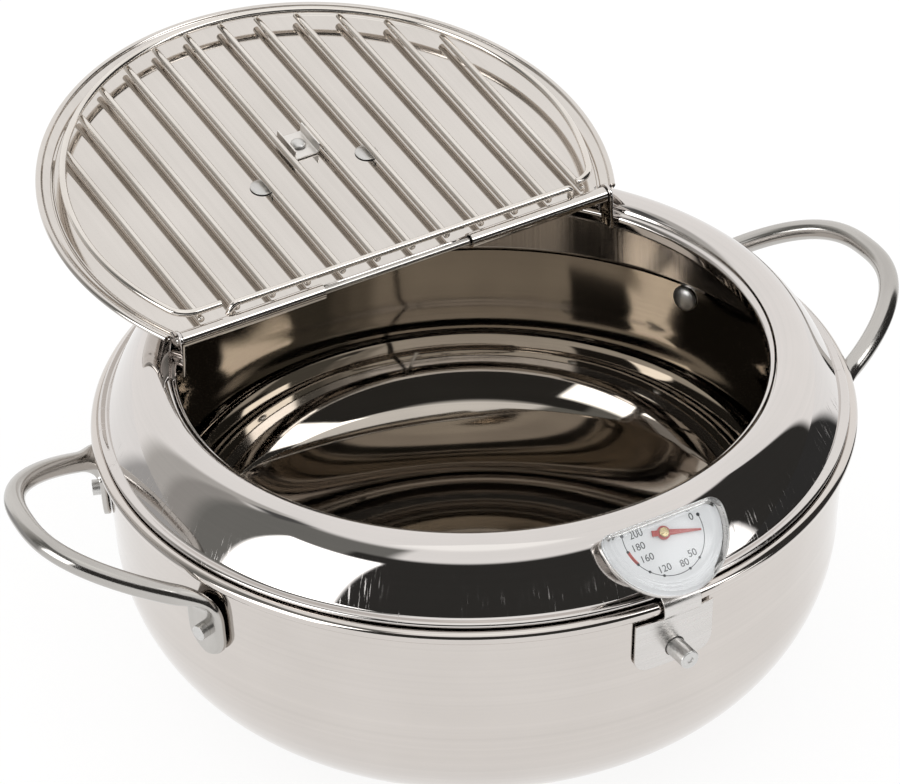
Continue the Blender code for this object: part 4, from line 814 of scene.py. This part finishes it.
make("clip_rivet", spun(rivet_outline, on_lid((RACK_SIDE, CLIP_ALONG, clip_base)), LID_UP), "lid",
     rivet_satin, "rivet_steel", "rack_clip_rivet", sharp=40)

# Thermometer bracket and stud. A plate hangs on a stud that is welded to the wall, and its neck bends out,
# over the rim and in under the dial. It is pressed sheet with a satin grain, its cut edges eased.
DIAL_Y = -114 * MM
DIAL_Z = POT_HEIGHT + 20.6 * MM
DIAL_TILT = math.radians(39.8)
DIAL_UP = (0, -math.sin(DIAL_TILT), math.cos(DIAL_TILT))
CASE_BACK = 1.6 * MM
BRACKET_SHEET = 0.7 * MM
PLATE_HALF = 14.2 * MM
PLATE_TOP = POT_HEIGHT - 5.4 * MM
PLATE_BOTTOM = POT_HEIGHT - 24 * MM
PLATE_CORNER = 5 * MM
PLATE_STANDOFF = 0.8 * MM
PLATE_EDGE = 0.15 * MM
PLATE_COLUMNS = 158
PLATE_ROWS = np.array([0, 0.04, 0.2, 0.4, 0.6, 0.8, 0.96, 1])
FIRST_COLUMN = 0.013
NECK_HALF = 6.7 * MM
NECK_CLEARANCE = 0.9 * MM
NECK_BEND = 1.6 * MM
TONGUE_FROM = -8 * MM
TONGUE_TO = -0.3 * MM
STUD_RADIUS = 3.2 * MM
STUD_Z = POT_HEIGHT - 18 * MM
STUD_LENGTH = 8.8 * MM
STUD_EDGE = 0.5 * MM
DIMPLE_RADIUS = 1 * MM
DIMPLE_SLOPE = 0.15 * MM
on_dial = leaning((THERMOMETER_X, DIAL_Y, DIAL_Z), DIAL_TILT)

half_sheet = BRACKET_SHEET / 2
tongue_h = -CASE_BACK - GAP - half_sheet
neck_out = -(BEAD_CENTRE + BEAD_RADIUS + NECK_CLEARANCE + half_sheet)
neck_path = softened([
    (-(wall_outer(PLATE_TOP) + PLATE_STANDOFF + half_sheet), PLATE_TOP),
    (neck_out, POT_HEIGHT - BEAD_RADIUS), (neck_out, POT_HEIGHT + BEAD_RADIUS),
    (-(FLANGE_RADIUS - NECK_CLEARANCE), FLANGE_TOP + 2 * NECK_CLEARANCE + half_sheet),
    on_dial((0, TONGUE_FROM, tongue_h))[1:], on_dial((0, TONGUE_TO, tongue_h))[1:]], NECK_BEND)
neck = band(neck_path, NECK_HALF, BRACKET_SHEET, 0.2 * MM) + [THERMOMETER_X, 0, 0]
bracket_steel = steel("bracket_steel_satin_sheet", "#d0cdca", "#dad7d4", (0.22, 0.32), (30.0, 30.0, 900.0),
                      0.08)
make("bracket_neck", neck, "thermometer", bracket_steel, "polished_steel", "thermometer_bracket", sharp=55)


def plate_grid():
    """Plate with its stud hole: rows go from the hole to a rectangle with rounded lower corners.

    Each row is the hole's circle moved evenly towards the outline. The plate lies on the wall's slope
    and follows its round: it falls back by x squared over twice the radius.
    """
    low = PLATE_BOTTOM + PLATE_CORNER
    inner = PLATE_HALF - PLATE_CORNER
    outline = np.concatenate([
        straight((PLATE_HALF, low), (PLATE_HALF, PLATE_TOP), 60),
        straight((PLATE_HALF, PLATE_TOP), (-PLATE_HALF, PLATE_TOP), 60),
        straight((-PLATE_HALF, PLATE_TOP), (-PLATE_HALF, low), 60),
        arc((-inner, low), PLATE_CORNER, 180, 270, 24), arc((inner, low), PLATE_CORNER, 270, 360, 24)])
    angle = np.arctan2(outline[:, 1] - STUD_Z, outline[:, 0]) % FULL_TURN
    order = np.argsort(angle)
    corners = [math.atan2(PLATE_TOP - STUD_Z, sign * PLATE_HALF) for sign in (1, -1)]
    turn = np.sort(np.append(straight(FIRST_COLUMN, FULL_TURN + FIRST_COLUMN, PLATE_COLUMNS), corners))
    edge = np.stack([np.interp(turn % FULL_TURN, angle[order], outline[order, i], period=FULL_TURN)
                     for i in (0, 1)], -1)
    hole = (STUD_RADIUS + GAP) * np.stack([np.cos(turn), np.sin(turn)], -1) + [0, STUD_Z]
    share = PLATE_ROWS[:, None, None]
    flat = hole * (1 - share) + edge * share
    depth = wall_outer(0) + flat[..., 1] * math.tan(WALL_TAPER) + PLATE_STANDOFF
    return flat, depth - flat[..., 0] ** 2 / (2 * WALL_RADIUS)


flat, depth = plate_grid()
face = np.stack([THERMOMETER_X + flat[..., 0], -(depth + BRACKET_SHEET), flat[..., 1]], -1)
plate = make("bracket_plate", np.concatenate([face, face[::-1] + [0, BRACKET_SHEET, 0]]), "thermometer",
             bracket_steel, "polished_steel", "thermometer_bracket", sharp=50, along=True)
soft_edge = plate.modifiers.new("edge", "BEVEL")
soft_edge.width = PLATE_EDGE
soft_edge.segments = 2
soft_edge.limit_method = "ANGLE"
soft_edge.angle_limit = math.radians(60)

stud_root = wall_outer(STUD_Z) + GAP
stud_tip = wall_outer(STUD_Z) + PLATE_STANDOFF + BRACKET_SHEET + STUD_LENGTH
stud_section = np.concatenate([
    [(0, stud_tip - STUD_EDGE), (DIMPLE_RADIUS, stud_tip - STUD_EDGE),
     (DIMPLE_RADIUS + DIMPLE_SLOPE, stud_tip - 0.1 * MM)],
    arc((STUD_RADIUS - STUD_EDGE, stud_tip - STUD_EDGE), STUD_EDGE, 90, 0, 6),
    [(STUD_RADIUS, stud_root), (0, stud_root)]])
make("wall_stud", spun(stud_section, (THERMOMETER_X, 0, STUD_Z), (0, -1, 0)), "pot", rivet_satin,
     "rivet_steel", "thermometer_stud", sharp=40)

# Thermometer dial. A half-round pressed case holds a pale enamelled plate with a printed scale, a red
# pointer on a brass hub that a bimetal coil turns, and a moulded clear cover with a stepped rim.
DIAL_RADIUS = 22 * MM
DIAL_CENTRE = 1.5 * MM
DIAL_FLAT = 5.3 * MM
DIAL_CORNER = 4 * MM
CASE_WALL = 1 * MM
CASE_TOP = 1.4 * MM
CASE_FLOOR = -1.2 * MM
DIAL_SHEET = 0.3 * MM


def dial_outline(inset, flat_share=1.0):
    """Round side, flat side and two rounded corners, drawn in from the case's edge.

    The flat side is drawn in by a share of what the round side is.
    """
    radius, side, corner = DIAL_RADIUS - inset, DIAL_FLAT - inset * flat_share, DIAL_CORNER - inset / 2
    up = side - corner
    x = math.sqrt((radius - corner) ** 2 - (up - DIAL_CENTRE) ** 2)
    turn = math.degrees(math.atan2(up - DIAL_CENTRE, x))
    return np.concatenate([arc((-x, up), corner, 90, 180 - turn, 16),
                           arc((0, DIAL_CENTRE), radius, 180 - turn, 360 + turn, 90)[1:-1],
                           arc((x, up), corner, turn, 90, 16), straight((x, side), (-x, side), 24)[1:]])


def dial_layers(levels, flat_share=1.0):
    """Outlines stacked as (inset, height) levels, each closed to the dial's middle where inset is None."""
    flats = [dial_outline(0) * 0 if inset is None else dial_outline(inset, flat_share) for inset, _ in levels]
    return np.stack([on_dial(raised(flat, height)) for flat, (_, height) in zip(flats, levels)])


case = dial_layers([
    (None, -CASE_BACK), (2 * MM, -CASE_BACK), (CASE_WALL, -CASE_BACK), (0.5 * MM, -CASE_BACK + 0.15 * MM),
    (0.15 * MM, -CASE_BACK + 0.5 * MM), (0, -CASE_BACK + CASE_WALL), (0, CASE_TOP - 0.2 * MM),
    (0.2 * MM, CASE_TOP), (CASE_WALL - 0.2 * MM, CASE_TOP), (CASE_WALL, CASE_TOP - 0.2 * MM),
    (CASE_WALL, CASE_FLOOR), (None, CASE_FLOOR)])
make("dial_case", case, "thermometer", bracket_steel, "polished_steel", "thermometer_case", sharp=50)


def enamel(name, dark, light, roughness):
    """Stoved enamel or printing ink on sheet: an even colour with a faint orange-peel surface and a gloss.

    The peel's grains are about 0.4 mm wide, and it varies the roughness by 0.08 up and down.
    """
    material, tree, shader = finish(name)
    peel = add(tree, "TexNoise", {"Vector": add(tree, "TexCoord").outputs["Object"], "Scale": 2600.0,
                                  "Detail": 2.0})
    tone = add(tree, "Mix", {"Factor": peel, "A": linear(dark), "B": linear(light)}, data_type="RGBA")
    rough = add(tree, "MapRange", {"Value": peel, "To Min": roughness - 0.08, "To Max": roughness + 0.08})
    bump = add(tree, "Bump", {"Height": peel, "Strength": 0.15, "Distance": 0.02 * MM})
    feed(tree, shader, {"Base Color": tone, "Roughness": rough, "Normal": bump})
    return material


dial_white = enamel("dial_enamel_pale_grey", "#dcdcdd", "#e8e8e8", 0.4)
print_black = enamel("dial_print_black", "#22262a", "#33383c", 0.5)
print_red = enamel("dial_print_red", "#b4453c", "#c65a50", 0.45)
plate_edge = CASE_WALL + GAP
face = dial_layers([(None, 0), (plate_edge + 2 * MM, 0), (plate_edge, 0), (plate_edge, -DIAL_SHEET),
                    (None, -DIAL_SHEET)])
make("dial_face", face, "thermometer", dial_white, "dial_enamel", "dial_plate", sharp=40)

PRINT_H = 0.03 * MM
INK = 0.02 * MM
SCALE_RADIUS = 13.6 * MM
SCALE = {0: -7, 50: 54, 80: 75, 120: 114, 140: 134, 160: 152, 180: 173, 200: 195}
END_DOT, DOT = 0.6 * MM, 0.45 * MM
NUMERAL_SIZE = 3.2 * MM
NUMERAL_SPOTS = {0: (11.0, 1.7), 50: (6.3, -8.9), 80: (2.5, -10.9), 120: (-4.4, -10.4), 160: (-8.4, -5.5),
                 180: (-9.6, -1.4), 200: (-8.6, 2.6)}


def printed_arc(radius, width, start, end):
    """A flat printed band between two values of the scale, whose angles run from the dial's right."""
    turn = -np.radians(np.linspace(SCALE[start], SCALE[end], 60))
    inner = np.stack([(radius - width / 2) * np.cos(turn), (radius - width / 2) * np.sin(turn)], -1)
    outer = inner * (radius + width / 2) / (radius - width / 2)
    return on_dial(raised(np.stack([outer, inner]), PRINT_H))


make("scale_line", printed_arc(SCALE_RADIUS, 0.22 * MM, 0, 200), "thermometer", print_black, "dial_enamel",
     across=False, thickness=INK)
make("scale_frying_band", printed_arc(SCALE_RADIUS - 0.1 * MM, 1.0 * MM, 160, 180), "thermometer", print_red,
     "dial_enamel", across=False, thickness=0.025 * MM)
for value, degrees in SCALE.items():
    turn = -math.radians(degrees)
    around = arc((0, 0), END_DOT if value in (0, 200) else DOT, 0, 360, 25)[:-1]
    spot = np.array([math.cos(turn), math.sin(turn)]) * SCALE_RADIUS
    make(f"scale_dot_{value}", on_dial(raised(np.stack([spot + around, spot + around * 0.02]), PRINT_H)),
         "thermometer", print_black, "dial_enamel", thickness=INK)


def numeral(text, spot):
    """A printed number as a flat mesh on the dial, centred on a spot."""
    curve = bpy.data.curves.new("numeral_" + text, "FONT")
    curve.body = text
    curve.size = NUMERAL_SIZE
    curve.align_x, curve.align_y = "CENTER", "CENTER"
    curve.extrude = INK / 2
    typed = bpy.data.objects.new("numeral_" + text, curve)
    bpy.context.scene.collection.objects.link(typed)
    mesh = bpy.data.meshes.new_from_object(typed.evaluated_get(bpy.context.evaluated_depsgraph_get()))
    bpy.data.objects.remove(typed)
    points = np.empty(len(mesh.vertices) * 3, np.float32)
    mesh.vertices.foreach_get("co", points)
    points = on_dial(points.reshape(-1, 3) + np.array([*spot, PRINT_H]))
    mesh.vertices.foreach_set("co", points.astype(np.float32).reshape(-1))
    mesh.update()
    piece = bpy.data.objects.new("numeral_" + text, mesh)
    bpy.context.scene.collection.objects.link(piece)
    return piece


for value, (across, up) in NUMERAL_SPOTS.items():
    dress(numeral(str(value), (across * MM, up * MM)), "thermometer", print_black, "dial_enamel")

POINTER_TURN = math.radians(-14)
POINTER_TIP, TIP_HALF = 12.6 * MM, 0.25 * MM
POINTER_BOSS = 2.2 * MM
POINTER_TAIL, TAIL_HALF = 3.9 * MM, 0.9 * MM
POINTER_SHEET = 0.4 * MM
HUB_SHANK, HUB_CAP, HUB_EDGE = 0.7 * MM, 1.6 * MM, 0.3 * MM
HUB_BELOW = 0.6 * MM
boss_angle = math.degrees(math.asin(TAIL_HALF / POINTER_BOSS))
pointer = np.concatenate([[(POINTER_TIP, -TIP_HALF), (POINTER_TIP, TIP_HALF)],
                          arc((0, 0), POINTER_BOSS, boss_angle, 180 - boss_angle, 24),
                          [(-POINTER_TAIL, TAIL_HALF), (-POINTER_TAIL, -TAIL_HALF)],
                          arc((0, 0), POINTER_BOSS, 180 + boss_angle, 360 - boss_angle, 24)])
c, s = math.cos(POINTER_TURN), math.sin(POINTER_TURN)
pointer = slab(pointer @ np.array([[c, s], [-s, c]]), GAP, GAP + POINTER_SHEET, 0.08 * MM,
               lambda flat, height: on_dial(raised(flat, height)))
pointer_red = enamel("pointer_enamel_red", "#a8433f", "#ba4f4a", 0.4)
make("dial_pointer", pointer, "pointer", pointer_red, "red_enamel", "pointer", sharp=40)
cap_low = 2 * GAP + POINTER_SHEET
hub_section = np.concatenate([
    [(0, -HUB_BELOW), (HUB_SHANK, -HUB_BELOW), (HUB_SHANK, cap_low), (HUB_CAP, cap_low)],
    arc((HUB_CAP - HUB_EDGE, cap_low + 0.05 * MM), HUB_EDGE, 0, 90, 6), [(0, cap_low + 0.35 * MM)]])
hub_brass = steel("hub_brass_turned", "#cdb684", "#e6d6ae", (0.2, 0.35), (900.0, 900.0), 0.2, 0.01 * MM)
make("hub_cap", spun(hub_section, on_dial((0, 0, 0)), DIAL_UP), "pointer", hub_brass, "brass", "pointer_hub",
     sharp=40)
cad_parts["bimetal_coil"].data.materials.clear()
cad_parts["bimetal_coil"].data.materials.append(hub_brass)

COVER_INSET = 4.4
COVER_FLAT_SHARE = 0.38
COVER_APEX = np.array([0, 2.4 * MM])
COVER_SLOPE = 0.022
COVER_EDGE, COVER_CROWN = 2.5, 0.66
COVER_RIM = [(COVER_INSET, COVER_EDGE), (4.15, 2.55), (3.9, 2.65), (3.6, 2.82), (3.3, 2.9), (3.0, 2.84),
             (2.75, 2.82), (2.5, 2.9), (2.2, 3.04), (1.8, 3.14), (1.3, 3.14), (0.7, 2.9), (0.25, 2.5),
             (0.03, 2.1)]


def seen_by(tree, *kinds):
    """1 for rays of these kinds, and 0 for others."""
    rays = add(tree, "LightPath").outputs
    total = rays[kinds[0]]
    for kind in kinds[1:]:
        total = add(tree, "Math", {0: total, 1: rays[kind]}, use_clamp=True)
    return total


def dome_rows():
    """Low crown of the cover, in rings from its apex: a fall with the square of the ring's share."""
    for share in straight(0, 1, 12):
        flat = (dial_outline(COVER_INSET * MM, COVER_FLAT_SHARE) - COVER_APEX) * share + COVER_APEX
        fall = COVER_SLOPE * flat[:, 1:] * (1 - share ** 4)
        yield on_dial(raised(flat, fall + (COVER_EDGE + COVER_CROWN * (1 - share ** 2)) * MM))


# Moulded polystyrene is clear and glossy with a faint ripple. Light goes straight through it to the dial.
clear, tree, shader = finish("cover_polystyrene_clear_moulded")
ripple = add(tree, "TexNoise", {"Vector": add(tree, "TexCoord").outputs["Object"], "Scale": 160.0,
                                "Detail": 1.0})
mould = add(tree, "Bump", {"Height": ripple, "Strength": 0.3, "Distance": 0.03 * MM})
feed(tree, shader, {"Normal": mould, "Base Color": linear("#f6f8f9"), "Transmission Weight": 1.0,
                    "Roughness": 0.0, "IOR": 1.45})
solid = seen_by(tree, "Is Camera Ray", "Is Glossy Ray", "Is Transmission Ray")
lit = add(tree, "MixShader", {0: solid, 1: add(tree, "BsdfTransparent"), 2: shader})
feed(tree, tree.nodes["Material Output"], {"Surface": lit})
cover_low = CASE_TOP + GAP
rim = dial_layers([(inset * MM, height * MM) for inset, height in COVER_RIM], COVER_FLAT_SHARE)
under = dial_layers([(0, cover_low), (1 * MM, cover_low), (2 * MM, cover_low), (None, cover_low)])
make("dial_cover", np.concatenate([list(dome_rows()), rim, under]), "thermometer", clear, "clear_cover",
     "dial_lens", sharp=50)

STEM_RADIUS = 1.5 * MM
STEM_LENGTH = 74 * MM
STEM_SPOT = (0, -3.6 * MM, 0)
stem_top = -CASE_BACK - GAP
stem_tip = stem_top - STEM_LENGTH
stem_section = np.concatenate([arc((0, stem_tip + STEM_RADIUS), STEM_RADIUS, -90, 0, 10),
                               np.linspace((STEM_RADIUS, stem_tip + 4 * MM), (STEM_RADIUS, stem_top), 15),
                               [(0, stem_top)]])
make("stem_tube", spun(stem_section, on_dial(STEM_SPOT), DIAL_UP), "thermometer", drawn_tube, "brushed_steel",
     "thermometer_stem", sharp=40)

# Studio. The pot stands on a pale floor under large soft lights. The world gives the steel what a studio
# has round it: white walls, bright soft boxes and the dark room between them.
FLOOR_GLOW = 1.06
FLOOR_SEEN = 0.8
WHITE = (1.0, 1.0, 1.0, 1.0)
WALL = (1.06, 1.05, 1.04, 1.0)
DARK_ROOM = (0.036, 0.035, 0.033)
SOFT_BOX = (3.8, 3.8, 3.8)


def past(value, start, blur, falling=False):
    """0 to 1 as a value passes start, or 1 to 0 where it is falling."""
    return add(tree, "MapRange", {"Value": value, "From Min": start - blur, "From Max": start + blur,
                                  "To Min": float(falling), "To Max": float(not falling)},
               interpolation_type="SMOOTHSTEP")


def around(part):
    """Degrees round the pot from the front, towards +X."""
    toward = add(tree, "Math", {0: part[1], 1: -1.0}, operation="MULTIPLY")
    turn = add(tree, "Math", {0: part[0], 1: toward}, operation="ARCTAN2")
    return add(tree, "Math", {0: turn, 1: math.degrees(1)}, operation="MULTIPLY")


def product(first, *others):
    """Product of values. Of masks, it is 1 only where all of them are."""
    for other in others:
        first = add(tree, "Math", {0: first, 1: other}, operation="MULTIPLY")
    return first


floor_grid = np.stack(np.meshgrid(np.linspace(-4, 4, 9), np.linspace(-4, 4, 9), [-GAP]), -1)[:, :, 0]
floor = skin("studio_floor", floor_grid, across=False)
paper, tree, shader = finish("studio_paper_white")
place = add(tree, "TexCoord").outputs["Object"]
azimuth = around(add(tree, "SeparateXYZ", {0: place}).outputs)
# Painted shade: beyond 0.27 m from the pot, two sweeps of the paper darken for reflected and refracted rays
# only. From 42 to 93 degrees round it is almost black, and from -146 to -106 degrees it falls to 0.4, so the
# steel mirrors an unlit floor there. The camera still sees even white.
away = past(add(tree, "VectorMath", {0: place}, operation="LENGTH"), 0.27, 0.03)
unlit = product(away, past(azimuth, 42, 3), past(azimuth, 93, 2, falling=True), 0.97)
half_lit = product(away, past(azimuth, -146, 3), past(azimuth, -106, 3, falling=True), 0.6)
mirrored = add(tree, "Math", {0: 1.0, 1: seen_by(tree, "Is Camera Ray")}, operation="SUBTRACT")
painted_floor_shade = product(add(tree, "Math", {0: unlit, 1: half_lit}), mirrored)
strength = add(tree, "Math", {0: painted_floor_shade, 1: -FLOOR_GLOW, 2: FLOOR_GLOW}, operation="MULTIPLY_ADD")
share = add(tree, "Math", {0: painted_floor_shade, 1: 1 - FLOOR_SEEN, 2: FLOOR_SEEN}, operation="MULTIPLY_ADD")
seen = seen_by(tree, "Is Camera Ray", "Is Glossy Ray", "Is Transmission Ray")
glow = add(tree, "Emission", {"Color": WHITE, "Strength": strength})
both = add(tree, "MixShader", {0: product(seen, share), 1: shader, 2: glow})
feed(tree, tree.nodes["Material Output"], {"Surface": both})
feed(tree, shader, {"Base Color": linear("#f6f5f4"), "Roughness": 0.9})
floor.data.materials.append(paper)

world = bpy.data.worlds.new("studio")
bpy.context.scene.world = world
world.use_nodes = True
tree = world.node_tree
part = add(tree, "SeparateXYZ", {0: add(tree, "TexCoord").outputs["Generated"]}).outputs
azimuth = around(part)
height = product(add(tree, "Math", {0: part[2]}, operation="ARCSINE"), math.degrees(1))
view = WALL
# Panels hang one in front of the other: tone, left, right, low, high, lean and blur of each. They are
# placed in degrees round and up, and their sides lean by lean.
for tone, left, right, low, high, lean, blur in (
        ((1.3, 1.3, 1.28), -80, 30, 68, 200, 0, 4), ((0.56, 0.55, 0.53), -149, -128, -9, 62, 0, 5),
        ((0.38, 0.37, 0.355), -134, -118, -9, 46, 0, 3), ((0.2, 0.2, 0.19), -122, -60, -9, 62, 0, 4),
        ((0.1, 0.1, 0.1), -132, -116, 50, 62, 0, 3), (DARK_ROOM, -78, 60, -9, 43, 0.1, 2),
        (SOFT_BOX, 60, 94, 20, 47, -1.0, 1.5), (DARK_ROOM, 52, 92, -9, 48, -0.12, 2),
        (SOFT_BOX, -107, -74, -9, 34.5, 0.36, 1.5), ((2.0, 2.0, 2.0), 40, 55, -9, 8, -0.6, 1.5)):
    slant = add(tree, "Math", {0: height, 1: -lean, 2: azimuth}, operation="MULTIPLY_ADD")
    panel = product(past(slant, left, blur), past(height, low, blur),
                    past(slant, right, blur, falling=True), past(height, high, blur, falling=True))
    view = add(tree, "Mix", {"Factor": panel, "A": view, "B": (*tone, 1.0)}, data_type="RGBA")
light = add(tree, "Mix", {"Factor": seen_by(tree, "Is Glossy Ray", "Is Transmission Ray"), "A": WHITE,
                          "B": view}, data_type="RGBA")
feed(tree, tree.nodes["Background"], {"Color": light})

# Camera. A long lens from the front left, above the rim, as the photograph was taken.
SENSOR_WIDTH = 36
FRAME_PIXELS = 900
FOCAL_PIXELS = 5146.266
camera_data = bpy.data.cameras.new("camera")
camera_data.lens = SENSOR_WIDTH * FOCAL_PIXELS / FRAME_PIXELS
camera_data.sensor_width = SENSOR_WIDTH
camera_data.clip_end = 50
camera = bpy.data.objects.new("camera", camera_data)
bpy.context.scene.collection.objects.link(camera)
right = Vector((0.8576049, -0.5139151, -0.0201291))
up = Vector((0.3069813, 0.4800942, 0.8217494))
back = Vector((-0.4126455, -0.7109155, 0.5694934))
turn = Matrix((right, up, back)).transposed().to_4x4()
camera.matrix_world = Matrix.Translation(Vector((-0.6952786, -1.1826981, 1.0492934))) @ turn
bpy.context.scene.camera = camera
bpy.context.scene.view_settings.view_transform = "Standard"
